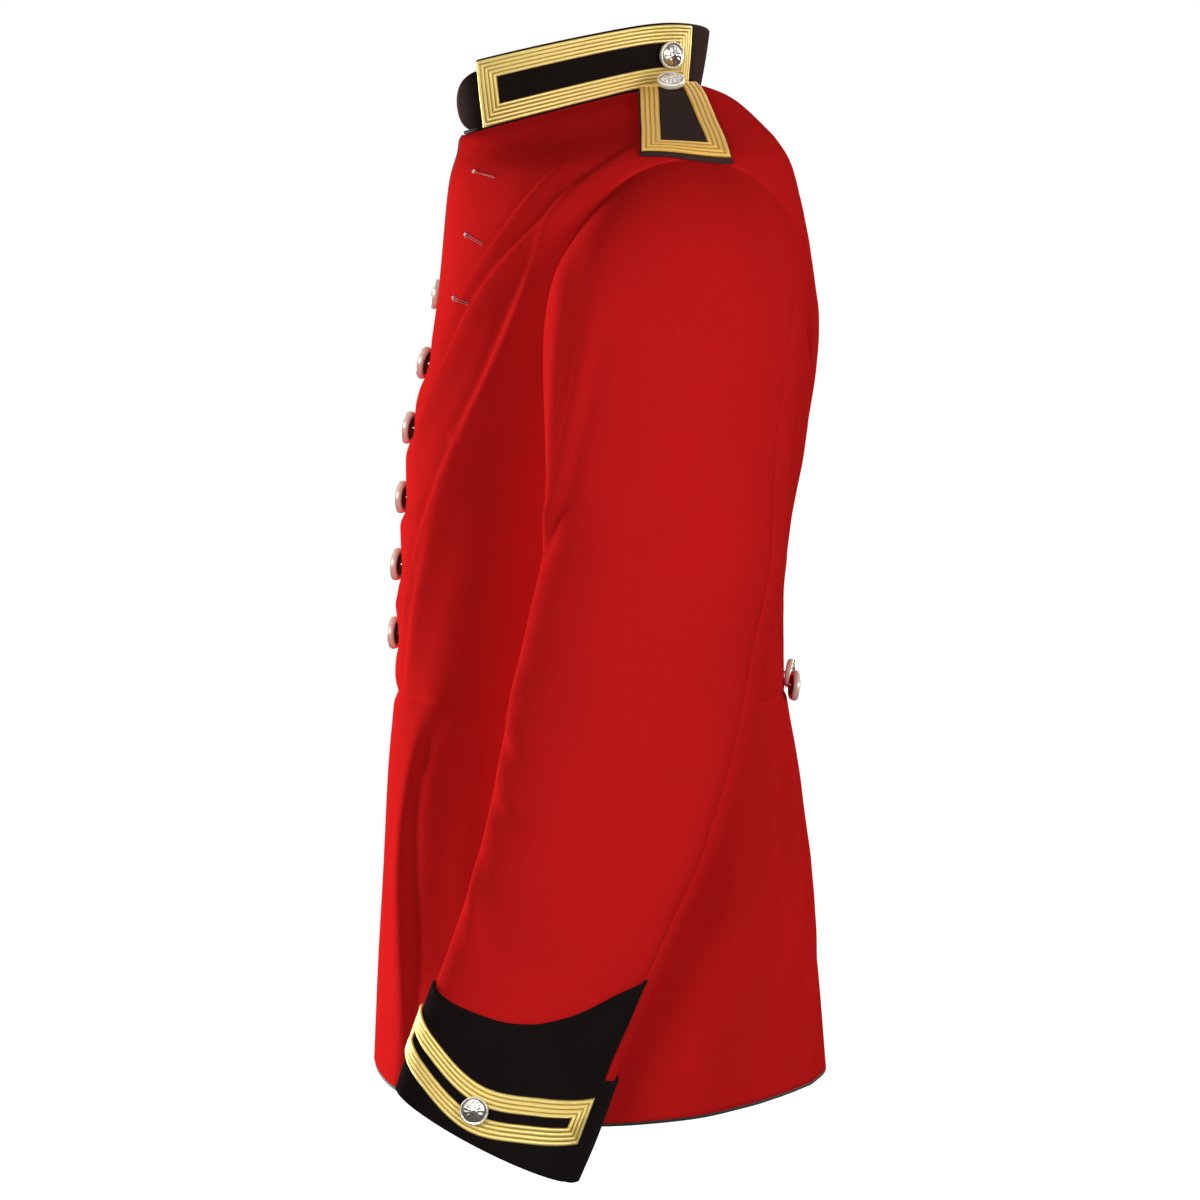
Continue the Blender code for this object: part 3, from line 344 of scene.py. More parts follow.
def outward(surface: Surface, side: int, u: Array, v: Array) -> Array:
    """Unit direction across a surface.

    Args:
        surface: gives points from side, u and v.
        side: 1 for the left half, -1 for the right.
        u: first places on the surface.
        v: second places on the surface.

    Returns:
        A direction for each place, outwards where u, v and it are a right-hand set.
    """
    along = surface(side, u + SLOPE_STEP, v) - surface(side, u - SLOPE_STEP, v)
    below = surface(side, u, v + SLOPE_STEP) - surface(side, u, v - SLOPE_STEP)
    return unit(side * np.cross(along, below))


@dataclass(frozen=True)
class Crease:
    """A soft fold along a smooth line on a surface, gentle on one side and steeper on the other.

    Points are (degrees round, metres down). The side on the right of the line's way, seen from outside
    on the wearer's left, is the gentle one. A negative height makes a trough.
    """

    points: tuple[tuple[float, float], ...]
    height: float
    width: float
    steep: float = 1.0        # width of the other side, as a share
    trough: float = 0.0       # depth at the other side's foot, as a share

    STEPS = 41
    TAPER = (0.06, 0.94)
    TAPER_POWER = 0.7
    TROUGH_AT = 1.7
    REACH = 4                 # widths within which a crease is felt

    def line(self, scale: float) -> Array:
        """The crease's line, in metres round and down."""
        knots = np.array(self.points) * (math.radians(scale), 1.0)
        way = lengths_to(knots)
        way /= way[-1]
        order = min(3, len(knots) - 1)
        shares = np.linspace(0, 1, self.STEPS)
        return np.stack([np.polyval(np.polyfit(way, knots[:, k], order), shares) for k in range(2)], -1)

    def lift(self, angle: Array, down: Array, scale: float) -> Array:
        """Height of the crease at places of the surface.

        Args:
            angle: radians round the surface.
            down: metres along it.
            scale: metres round the surface for each radian.

        Returns:
            Heights in metres.
        """
        line = self.line(scale)
        tangent = unit(np.gradient(line, axis=0))
        place = np.stack(np.broadcast_arrays(scale * np.asarray(angle), down), -1)
        reach = self.REACH * self.width
        near = np.all((place > line.min(0) - reach) & (place < line.max(0) + reach), -1)
        height = np.zeros(near.shape)
        if not near.any():
            return height
        far = place[near][:, None, :] - line[None]
        nearest = np.argmin((far ** 2).sum(-1), 1)
        gap = far[np.arange(len(far)), nearest]
        turn = tangent[nearest]
        across = (turn[:, 0] * gap[:, 1] - turn[:, 1] * gap[:, 0]) / self.width
        across = np.where(across > 0, across / self.steep, across)
        along = (turn * gap).sum(-1)
        spacing = float(np.linalg.norm(np.diff(line, axis=0), axis=1).mean())
        share = (nearest + along / spacing) / (self.STEPS - 1)
        beyond = np.maximum(0, np.maximum(-share, share - 1)) * spacing * (self.STEPS - 1) / self.width
        fade = np.sin(math.pi * blend(self.TAPER, np.clip(share, 0, 1))) ** self.TAPER_POWER
        crest = np.exp(-across ** 2 - beyond ** 2)
        trough = np.exp(-(np.abs(across) - self.TROUGH_AT) ** 2 - beyond ** 2) * (across > 0)
        height[near] = self.height * fade * (crest - self.trough * trough)
        return height


def fold_rows(*rows: Sequence[float]) -> list[Crease]:
    """Creases from rows: height, width (mm), steep, trough, then degrees and mm down of each point."""
    return [Crease(tuple((angle, down / 1000) for angle, down in zip(places[::2], places[1::2])),
                   height / 1000, width / 1000, steep, trough)
            for height, width, steep, trough, *places in rows]


# Creases of each half of the body. Fans run from the armhole over the chest to the fastened buttons.
LEFT_CREASES = fold_rows(
    (5.2, 15, 0.34, 0.2, 80, 118, 70.5, 146, 62.8, 175, 53, 209, 42.2, 256, 30, 300, 24, 345),
    (3.6, 12, 0.32, 0.15, 62, 128, 55.5, 160, 49, 186, 42, 214, 33, 245, 22, 268),
    (5.6, 15, 0.38, 0.2, 66, 160, 62.2, 213, 58, 258, 53, 307, 44.5, 352, 34.5, 401, 28, 450),
    (2.8, 11, 0.6, 0.2, 44, 380, 39, 420, 34, 460, 30, 496),
    (1.6, 7, 0.6, 0.2, 30, 318, 18, 332, 5, 345),
    (1.6, 7, 0.6, 0.2, 32, 372, 18, 384, 5, 392),
    (1.4, 7, 0.6, 0.2, 32, 436, 18, 442, 5, 444),
    (3, 12, 1, 0, 96, 370, 84, 420, 74, 485),
    (5, 9, 1, 0, 166, 512, 165, 640, 163, 775),
    (4.6, 8, 1.6, 0.2, 158, 508, 154.5, 564, 152.5, 619, 154, 700),
    (5, 22, 1, 0, 118, 560, 120, 660, 121, 775),
    (5.2, 18, 0.36, 0.25, 45, 778, 49, 740, 47, 682, 40, 645, 37, 610, 42, 560, 44, 508),
    (-4.2, 22, 1, 0, 56, 515, 54, 600, 58, 700),
    (-1.6, 6, 1, 0, 45, 516, 43, 530, 43, 545),
    (-1.6, 10, 0.8, 0.4, 140, 330, 148, 400, 152, 470),
    (1.3, 8, 0.8, 0.4, 112, 400, 124, 440, 140, 470),
    (-2.2, 12, 0.8, 0.4, 146, 530, 143, 620, 141, 740),
    (3, 8, 0.6, 0.3, 114, 165, 124, 195, 130, 240, 132, 285),
    (2.4, 7, 0.6, 0.3, 112, 210, 119, 228, 124, 262, 126, 310),
    (-1.5, 10, 0.8, 0.4, 140, 150, 150, 220, 158, 300),
)
RIGHT_CREASES = fold_rows(
    (5, 15, 0.34, 0.2, 78, 120, 69, 150, 61, 180, 50, 216, 40, 262, 29, 306, 24, 350),
    (3.4, 12, 0.32, 0.15, 60, 130, 54, 164, 46, 195, 38, 226, 28, 256),
    (5.2, 15, 0.38, 0.2, 66, 166, 61, 220, 56, 268, 50, 320, 41, 364, 30, 412),
    (2.6, 11, 0.6, 0.2, 44, 386, 38, 426, 32, 468),
    (1.6, 7, 0.6, 0.2, 34, 322, 22, 336, 12, 346),
    (1.5, 7, 0.6, 0.2, 34, 378, 22, 390, 12, 394),
    (3, 12, 1, 0, 98, 365, 86, 425, 72, 480),
    (5, 9, 1, 0, 166, 512, 165, 640, 163, 775),
    (4, 8, 1.6, 0.2, 157, 510, 154, 570, 152, 630, 153, 710),
    (4.5, 22, 1, 0, 120, 580, 122, 670, 124, 775),
    (4.8, 18, 0.36, 0.25, 47, 776, 50, 735, 46, 680, 41, 625, 44, 570, 46, 508),
    (-3.8, 22, 1, 0, 58, 520, 55, 605, 59, 700),
    (-1.6, 10, 0.8, 0.4, 142, 335, 149, 400, 153, 465),
    (1.3, 8, 0.8, 0.4, 114, 405, 126, 440, 142, 472),
    (-2.2, 12, 0.8, 0.4, 147, 530, 145, 620, 143, 740),
    (2.8, 8, 0.6, 0.3, 115, 170, 125, 205, 131, 250, 133, 295),
    (-1.4, 10, 0.8, 0.4, 141, 155, 151, 225, 159, 305),
)
# Creases of a sleeve: degrees round it, metres down the arm. Those of its head start above 0.
SLEEVE_CREASES = fold_rows(
    (3.4, 9, 0.5, 0.3, 44, -45, 47.5, -30, 54, -20, 64, -8, 78, 16, 92, 50),
    (2, 10, 0.6, 0.3, 72, -90, 66, -55, 72, -15, 84, 30),
    (-2.2, 13, 1, 0.3, -34, 120, -29, 190, -30, 270),
    (1.2, 12, 1, 0.3, -12, 150, -11, 210, -16, 260),
    (-1.8, 8, 1, 0.5, 88, 170, 62, 186, 40, 180),
    (-1.6, 8, 1, 0.5, 90, 212, 66, 224, 46, 234),
    (1.2, 9, 1, 0.4, 84, 140, 62, 146, 46, 140),
    (1.6, 10, 0.8, 0.4, 92, 262, 70, 290, 52, 318),
    (-1.4, 16, 1, 0, 44, 275, 39, 305, 37, 330),
    (-1.3, 10, 1, 0.3, -54, 300, -36, 322, -18, 352),
    (1.4, 14, 1, 0.3, -40, 10, -32, 50, -34, 90),
    (-2.2, 10, 1, 0.5, 150, 160, 172, 182, 196, 190),
    (-2, 10, 1, 0.5, 150, 210, 172, 225, 200, 240),
    (1.4, 12, 1, 0.4, 150, 115, 175, 130, 200, 145),
    (-1.6, 14, 1, 0.3, 210, 50, 213, 110, 208, 160),
    (1.2, 12, 1, 0.4, 160, 290, 174, 320, 182, 350),
)


def uneven(u: Array, v: Array, size: float, seed: int) -> Array:
    """Soft unevenness of hanging cloth, from waves in seeded directions.

    Args:
        u: metres one way on the cloth.
        v: metres the other way.
        size: length of the longest wave, in metres.
        seed: fixes the directions and phases.

    Returns:
        Values of about -1 to 1.
    """
    draw = np.random.default_rng(seed)
    total = np.zeros(np.broadcast(u, v).shape)
    for step in range(WAVE_SIZES):
        wave = 2 * math.pi * WAVE_FINER ** step / size
        for _ in range(WAVES):
            turn, phase = draw.uniform(0, 2 * math.pi, 2)
            across = u * math.cos(turn) + v * math.sin(turn)
            total = total + np.sin(wave * across + phase) / WAVE_LOWER ** step
    return total / WAVE_SHARE


class Body:
    """The body's surface: level rings with folds, button dimples and the lapped right front."""

    UNEVEN = 0.0005
    UNEVEN_SIZE = 0.085
    SEED = 5
    CALM_FRONT = (0.12, 0.2)  # angles from the front over which the unevenness grows
    CALM_NECK = 0.05          # and length from the neckline

    @staticmethod
    def smooth(side: int, angle: Array, down: Array) -> Array:
        """Point of the body without folds.

        Args:
            side: 1 for the left half, -1 for the right.
            angle: radians from the front.
            down: metres of cloth down from the neckline.

        Returns:
            Points.
        """
        front_y, mid_y = BODY.read("front_y", down), BODY.read("mid_y", down)
        width = BODY.read("half_width", down)
        ahead = np.cos(angle) > 0
        depth = np.where(ahead, mid_y - front_y, BODY.read("back_y", down) - mid_y)
        power = np.where(ahead, BODY.read("front_n", down), BODY.read("back_n", down))
        reach = (np.abs(np.sin(angle)) / width) ** power + (np.abs(np.cos(angle)) / depth) ** power
        reach = reach ** (-1 / power)
        y = mid_y - reach * np.cos(angle)
        dip = DIP_SOFTNESS * np.logaddexp(0, (DIP_END_Y - y) / DIP_SOFTNESS)
        z = BODY.read("z", down) - BODY.read("dip", down) * dip
        if side < 0:
            fall = RIGHT_FALL * (1 - ease(down / FALL_END))
            y = y + fall * np.clip((mid_y - y) / (mid_y - front_y), 0, 1) ** 2
        return np.stack(np.broadcast_arrays(side * reach * np.sin(angle), y, z), -1)

    @classmethod
    def raised(cls, side: int, angle: Array, down: Array) -> Array:
        """Height of folds and dimples at places of the body, in metres."""
        angle, down = match(angle, down)
        total = np.zeros(angle.shape)
        for fold in LEFT_CREASES if side > 0 else RIGHT_CREASES:
            total += fold.lift(angle, down, BODY_SCALE)
        calm_back = ease((math.pi - np.abs(angle)) / BACK_CALM)
        total *= ease(down / NECK_CALM) * calm_back
        pulls = [(place, DIMPLE_DEPTH, DIMPLE_REACH) for place in BUTTON_DOWNS]
        for place, depth, reach in pulls + [(DOWN_WAIST, WAIST_DENT, WAIST_DENT_REACH)]:
            total -= depth * np.exp(-(FRONT_SCALE * angle / reach[0]) ** 2 - ((down - place) / reach[1]) ** 2)
        calm = ease((np.abs(angle) - cls.CALM_FRONT[0]) / cls.CALM_FRONT[1]) * ease(down / cls.CALM_NECK)
        waves = uneven(BODY_SCALE * angle, down, cls.UNEVEN_SIZE, cls.SEED + side)
        return total + cls.UNEVEN * calm * calm_back * waves

    @classmethod
    def at(cls, side: int, angle: Array, down: Array, lift: Values = 0.0) -> Array:
        """Point of the body's outer face, or lifted off it.

        Args:
            side: 1 for the left half, -1 for the right.
            angle: radians from the front.
            down: metres of cloth down from the neckline.
            lift: metres off the face.

        Returns:
            Points.
        """
        base = cls.smooth(side, angle, down)
        raised = cls.raised(side, angle, down) + lift
        if side < 0:
            near = np.abs(base[..., 0]) * np.sign(np.sin(angle))
            shelf = (1 - ease((near - UNDERLAP_X[0]) / (UNDERLAP_X[1] - UNDERLAP_X[0]))) * (np.cos(angle) > 0)
            raised = raised - UNDERLAP * shelf
        return base - outward(cls.smooth, side, angle, down) * np.asarray(raised)[..., None]

    @staticmethod
    def angle_at_y(down: float, y: float) -> float:
        """Angle from the front at which a ring reaches a given y."""
        mid_y = BODY.one("mid_y", down)
        half = "front" if y < mid_y else "back"
        depth = abs(mid_y - BODY.one(f"{half}_y", down))
        power = BODY.one(f"{half}_n", down)
        ratio = min(abs(y - mid_y) / depth, MOST_RATIO)
        x = BODY.one("half_width", down) * (1 - ratio ** power) ** (1 / power)
        return math.atan2(x, mid_y - y)

    @staticmethod
    def edge_angle(down: float) -> float:
        """Angle of a front's edge, below 0 where it laps past the middle."""
        open_x, width, power = (BODY.one(name, down) for name in ("open_x", "half_width", "front_n"))
        depth = BODY.one("mid_y", down) - BODY.one("front_y", down)
        return math.atan2(open_x, depth * (1 - (abs(open_x) / width) ** power) ** (1 / power))


class Armhole:
    """The oval in which the sleeve is sewn: 0 degrees at the shoulder, 90 at its front, 180 under the arm."""

    @staticmethod
    def down(turn: float) -> float:
        """Cloth down from the neck at a point of the armhole."""
        return DOWN_SHOULDER + (DOWN_UNDERARM - DOWN_SHOULDER) * (1 - math.cos(math.radians(turn))) / 2

    @staticmethod
    def turn(down: float) -> float:
        """Degrees at which the front half of the armhole is this far down."""
        share = (down - DOWN_SHOULDER) / (DOWN_UNDERARM - DOWN_SHOULDER)
        return math.degrees(math.acos(min(1.0, max(-1.0, 1 - 2 * share))))

    @classmethod
    def angle(cls, turn: float) -> float:
        """Angle round the body at a point of the armhole."""
        down = cls.down(turn)
        swing = math.sin(math.radians(turn))
        reach = ARMHOLE_FRONT if swing > 0 else ARMHOLE_BACK
        return Body.angle_at_y(down, BODY.one("mid_y", down) - reach * swing)

    @classmethod
    def ring(cls, side: int) -> Array:
        """Points of the whole armhole, one a degree, with the first again at the end."""
        angles, downs = (np.array([find(turn) for turn in range(361)]) for find in (cls.angle, cls.down))
        return Body.smooth(side, angles, downs)


class Sleeve:
    """The sleeve's surface: a head that leaves the armhole, then rings down the arm."""

    UNEVEN = 0.0005
    UNEVEN_SIZE = 0.095
    SEED = 11
    CALM_HEAD = 0.03          # length from the armhole over which the unevenness grows
    CALM_CUFF = (0.13, 0.05)  # lengths from the sleeve's end over which it fades
    HEAD_INSIDE = 0.0003
    RINGS = {side.value: Armhole.ring(side.value) for side in Side}

    @staticmethod
    def arm_ring(side: int, turn: Array, run: Array) -> Array:
        """Point of a ring down the arm.

        Args:
            side: 1 for the left sleeve, -1 for the right.
            turn: radians round the sleeve, 0 outside.
            run: metres down the arm.

        Returns:
            Points.
        """
        drop = np.radians(ARM.read("drop", run))
        roll = math.radians(ARM_ROLL) * ease(np.asarray(run) / ARM_END)
        out = ARM.read("half_thick", run) * np.cos(turn)
        back = -ARM.read("half_width", run) * np.sin(turn)
        x = ARM.read("x", run) + out * np.cos(roll)
        y = ARM.read("y", run) + back * np.cos(drop)
        z = ARM.read("z", run) - back * np.sin(drop) - out * np.sin(roll)
        return np.stack(np.broadcast_arrays(side * x, y, z), -1)

    @classmethod
    def edge(cls, side: int, turn: Array) -> tuple[Array, Array]:
        """Start of the head at the armhole and the direction in which it leaves."""
        degrees = np.degrees(turn) % 360
        index = np.clip(degrees.astype(int), 0, 359)
        share = (degrees - index)[..., None]
        ring = cls.RINGS[side]
        points = ring[index] * (1 - share) + ring[index + 1] * share
        up = np.clip(np.cos(turn), 0, 1) ** 2
        under = np.clip(-np.cos(turn), 0, 1) ** 2
        back = HEAD_BACK - HEAD_SPREAD * np.sin(turn)
        fall = HEAD_DROP + HEAD_DROP_TOP * up + HEAD_DROP_UNDER * under
        leave = unit(np.stack((side * np.ones_like(turn), back, -fall), -1))
        return points - cls.HEAD_INSIDE * leave, leave

    @classmethod
    def smooth(cls, side: int, turn: Array, run: Array) -> Array:
        """Point of the sleeve; run is below 0 on the head, where -1 is the armhole."""
        turn, run = match(turn, run)
        lower = cls.arm_ring(side, turn, np.maximum(run, 0))
        if np.all(run >= 0):
            return lower
        start, leave = cls.edge(side, turn)
        first = cls.arm_ring(side, turn, 0 * run)
        below = unit(cls.arm_ring(side, turn, 0 * run + HEAD_STEP) - first)
        reach = HEAD_FULLNESS * np.linalg.norm(first - start, axis=-1, keepdims=True)
        t = np.clip(1 + run, -0.01, 1)[..., None]
        head = curve(t, (start, first), (reach * leave, reach * below))
        return np.where((run < 0)[..., None], head, lower)

    @classmethod
    def raised(cls, side: int, turn: Array, run: Array) -> Array:
        """Height of the sleeve's folds, in metres."""
        turn, run = match(turn, run)
        down = np.where(run < 0, run * HEAD_LENGTH, run)
        total = np.zeros(turn.shape)
        for fold in SLEEVE_CREASES:
            total += fold.lift(turn, down, ARM_SCALE)
        start, length = cls.CALM_CUFF
        calm = ease((down + HEAD_LENGTH) / cls.CALM_HEAD) * ease((ARM_END - start - down) / length)
        return total + cls.UNEVEN * calm * uneven(ARM_SCALE * turn, down, cls.UNEVEN_SIZE, cls.SEED + side)

    @classmethod
    def at(cls, side: int, turn: Array, run: Array, lift: Values = 0.0) -> Array:
        """Point of the sleeve's outer face, or lifted off it."""
        turn, run = match(turn, run)
        rise = np.asarray(cls.raised(side, turn, run) + lift)
        return cls.smooth(side, turn, run) + outward(cls.smooth, side, turn, run) * rise[..., None]


class CollarForm:
    """The collar's surface: angle from the front, and 0 at the neckline to 1 at its top edge."""

    @staticmethod
    def smooth(side: int, angle: Array, up: Array) -> Array:
        """Point of the collar without thickness."""
        angle = np.asarray(angle, float)
        base = Body.smooth(side, angle, 0 * angle)
        degrees = np.degrees(angle)
        out = np.stack((side * np.sin(angle), -np.cos(angle), 0 * angle), -1)
        height = COLLAR.read("height", degrees) * up + COLLAR_SEAM
        rise = np.stack(np.broadcast_arrays(0.0, 0.0, height), -1)
        return base + rise + out * (COLLAR.read("lean", degrees) * up)[..., None]

    @classmethod
    def at(cls, side: int, angle: Array, up: Array, lift: Values = 0.0) -> Array:
        """Point of the collar's outer face, or lifted off it."""
        angle, up, lift = match(angle, up, lift)
        return cls.smooth(side, angle, up) + outward(cls.smooth, side, angle, up) * lift[..., None]


class StrapForm:
    """The surface above the shoulder: across from -1 (front) to 1, along from 0 (collar) to 1."""

    @staticmethod
    def at(side: int, across: Array, along: Array, lift: Values = 0.0) -> Array:
        """Point above the shoulder, lifted off the body."""
        across, along, lift = match(across, along, lift)
        downs = blend(STRAP_DOWN, along) + STRAP_SLANT * ease((across + 1) / 2) * along ** 3
        ys = blend(STRAP_MIDDLE_Y, along) + across * blend(STRAP_HALF, along)
        angles = [Body.angle_at_y(float(down), float(y)) for down, y in zip(downs.ravel(), ys.ravel())]
        return Body.at(side, np.array(angles).reshape(across.shape), downs, lift)


# ---- meshes
CLOTH_MAP = "Cloth"
EDGES = ("top", "bottom", "left", "right")


def open_at(*edges: str) -> Edges:
    """What each edge of a panel is: open where it is named, else a seam."""
    return {edge: Edge.OPEN if edge in edges else Edge.SEAM for edge in EDGES}


def add_to_scene(name: str, data: bpy.types.ID) -> Piece:
    """A new object with a mesh, light or camera."""
    made = bpy.data.objects.new(name, data)
    bpy.context.scene.collection.objects.link(made)
    return made


def make_object(name: str, vertices: Array, faces: Faces, maps: Outline, material: Material) -> Piece:
    """One smooth-shaded object.

    Args:
        name: the piece's name.
        vertices: its points.
        faces: its faces, as indices of the points.
        maps: place on the cloth, in metres, for each corner of each face in turn.
        material: its finish.

    Returns:
        The object, linked to the scene.
    """
    mesh = bpy.data.meshes.new(name)
    mesh.from_pydata(np.asarray(vertices, float).tolist(), [], faces)
    layer = mesh.uv_layers.new(name=CLOTH_MAP)
    layer.data.foreach_set("uv", np.array(maps, np.float32).ravel())
    mesh.shade_smooth()
    mesh.set_sharp_from_angle(angle=math.radians(SHARP_ANGLE))
    mesh.materials.append(material)
    return add_to_scene(name, mesh)


def make_shell(name: str, outer: Array, inner: Array, places: Array,
               edges: Edges, material: Material) -> Piece:
    """A closed shell between two grids, with rounded rims on its open edges.

    Args:
        name: its own.
        outer: grid of outer points, rows by columns.
        inner: grid of inner points.
        places: grid of places on the cloth, in metres.
        edges: what the top, bottom, left and right edges are.
        material: its finish.

    Returns:
        The object.
    """
    rows, columns = outer.shape[:2]
    half = (outer + inner) / 2
    thick = np.linalg.norm(outer - inner, axis=-1, keepdims=True) / 2

    def rim(edge: str, line: tuple, inside: tuple) -> Array:
        """Middle points of one edge, which stand out where it is open."""
        away = unit(half[line] - half[inside])
        return half[line] + away * thick[line] * (EDGE_ROUND if edges[edge] is Edge.OPEN else 0.0)

    every = slice(None)
    rims = (rim("top", (0, every), (1, every)), rim("bottom", (-1, every), (-2, every)),
            rim("left", (every, 0), (every, 1)), rim("right", (every, -1), (every, -2)))
    vertices = np.concatenate((outer.reshape(-1, 3), inner.reshape(-1, 3)) + rims)
    flat = places.reshape(-1, 2)
    vertex_places = np.concatenate((flat, flat, places[0], places[-1], places[:, 0], places[:, -1]))
    grid = np.arange(rows * columns).reshape(rows, columns)
    under = grid + rows * columns
    top = 2 * rows * columns + np.arange(columns)
    bottom = top + columns
    left = 2 * rows * columns + 2 * columns + np.arange(rows)
    right = left + rows
    strips = [
        (grid[:-1, :-1], grid[:-1, 1:], grid[1:, 1:], grid[1:, :-1]),
        (under[:-1, :-1], under[1:, :-1], under[1:, 1:], under[:-1, 1:]),
        (grid[0, 1:], grid[0, :-1], top[:-1], top[1:]),
        (top[1:], top[:-1], under[0, :-1], under[0, 1:]),
        (grid[-1, :-1], grid[-1, 1:], bottom[1:], bottom[:-1]),
        (bottom[:-1], bottom[1:], under[-1, 1:], under[-1, :-1]),
        (grid[:-1, 0], grid[1:, 0], left[1:], left[:-1]),
        (left[:-1], left[1:], under[1:, 0], under[:-1, 0]),
        (grid[1:, -1], grid[:-1, -1], right[:-1], right[1:]),
        (right[1:], right[:-1], under[:-1, -1], under[1:, -1]),
        (grid[0, :1], left[:1], under[0, :1], top[:1]),
        (grid[0, -1:], top[-1:], under[0, -1:], right[:1]),
        (grid[-1, :1], bottom[:1], under[-1, :1], left[-1:]),
        (grid[-1, -1:], right[-1:], under[-1, -1:], bottom[-1:]),
    ]
    quads = np.concatenate([np.stack([np.ravel(k) for k in strip], -1) for strip in strips])
    across = outer[0, 1] - outer[0, 0]
    down = outer[1, 0] - outer[0, 0]
    if np.dot(np.cross(across, down), outer[0, 0] - inner[0, 0]) < 0:
        quads = quads[:, ::-1]
    return make_object(name, vertices, quads.tolist(), vertex_places[quads.ravel()], material)


def make_sweep(name: str, sections: Array, closed: bool, material: Material,
               width: float) -> Piece:
    """A closed solid through loops of points.

    Args:
        name: the piece's name.
        sections: loops of points, each with the same count.
        closed: joined end to end, or capped.
        material: its finish.
        width: metres that the loop's outer half stands for on the cloth map.

    Returns:
        The object.
    """
    sections = np.asarray(sections, float)
    count, sides = sections.shape[:2]
    centres = sections.mean(1)
    steps = np.linalg.norm(np.roll(centres, -1, 0) - centres, axis=1)
    along = np.concatenate(((0.0,), np.cumsum(steps)))
    around = np.linspace(0, width, sides + 1)
    faces: Faces = []
    maps: Outline = []
    for i in range(count if closed else count - 1):
        first, second = i * sides, (i + 1) % count * sides
        for k in range(sides):
            after = (k + 1) % sides
            faces.append((first + k, first + after, second + after, second + k))
            maps += [(along[i], around[k]), (along[i], around[k + 1]),
                     (along[i + 1], around[k + 1]), (along[i + 1], around[k])]
    if not closed:
        faces.append(tuple(reversed(range(sides))))
        faces.append(tuple(range((count - 1) * sides, count * sides)))
        maps += [(0.0, 0.0)] * sides + [(along[count - 1], 0.0)] * sides
    made = make_object(name, sections.reshape(-1, 3), faces, maps, material)
    turn_out(made)
    return made


def turn_out(made: Piece) -> None:
    """Turn a closed piece's faces outwards, by the sign of its volume."""
    mesh = made.data
    mesh.calc_loop_triangles()
    corners = np.array([t.vertices[:] for t in mesh.loop_triangles])
    points = np.array([v.co[:] for v in mesh.vertices])[corners]
    if np.einsum("ij,ij->i", points[:, 0], np.cross(points[:, 1], points[:, 2])).sum() < 0:
        mesh.flip_normals()


def ball(centre: Array, radius: float, steps: tuple[int, int]) -> tuple[Array, Faces]:
    """Points and faces of a small ball, with its rows and sides."""
    rows, sides = steps
    points = [(0.0, 0.0, -1.0)]
    for i in range(1, rows):
        tilt = math.pi * i / rows - math.pi / 2
        points += [(math.cos(tilt) * math.cos(turn), math.cos(tilt) * math.sin(turn), math.sin(tilt))
                   for turn in circle(sides)]
    points.append((0.0, 0.0, 1.0))
    faces: Faces = []
    last = 1 + (rows - 2) * sides
    for k in range(sides):
        after = (k + 1) % sides
        faces.append((0, 1 + after, 1 + k))
        faces += [(i + k, i + after, i + sides + after, i + sides + k) for i in range(1, last, sides)]
        faces.append((last + k, last + after, len(points) - 1))
    return centre + radius * np.array(points), faces


def count_cells(length: float, cell: float) -> int:
    """Cells of about a given side in a length."""
    return max(2, round(length / cell))


# ---- materials
Socket = bpy.types.NodeSocket
Colour = tuple[float, float, float, float]
Inputs = dict[str | int, object]


def fill(node: bpy.types.Node, inputs: Inputs) -> None:
    """Give a node's sockets their numbers and colours, and link those that other nodes feed."""
    for name, value in inputs.items():
        if isinstance(value, Socket):
            node.id_data.links.new(value, node.inputs[name])
        else:
            node.inputs[name].default_value = value


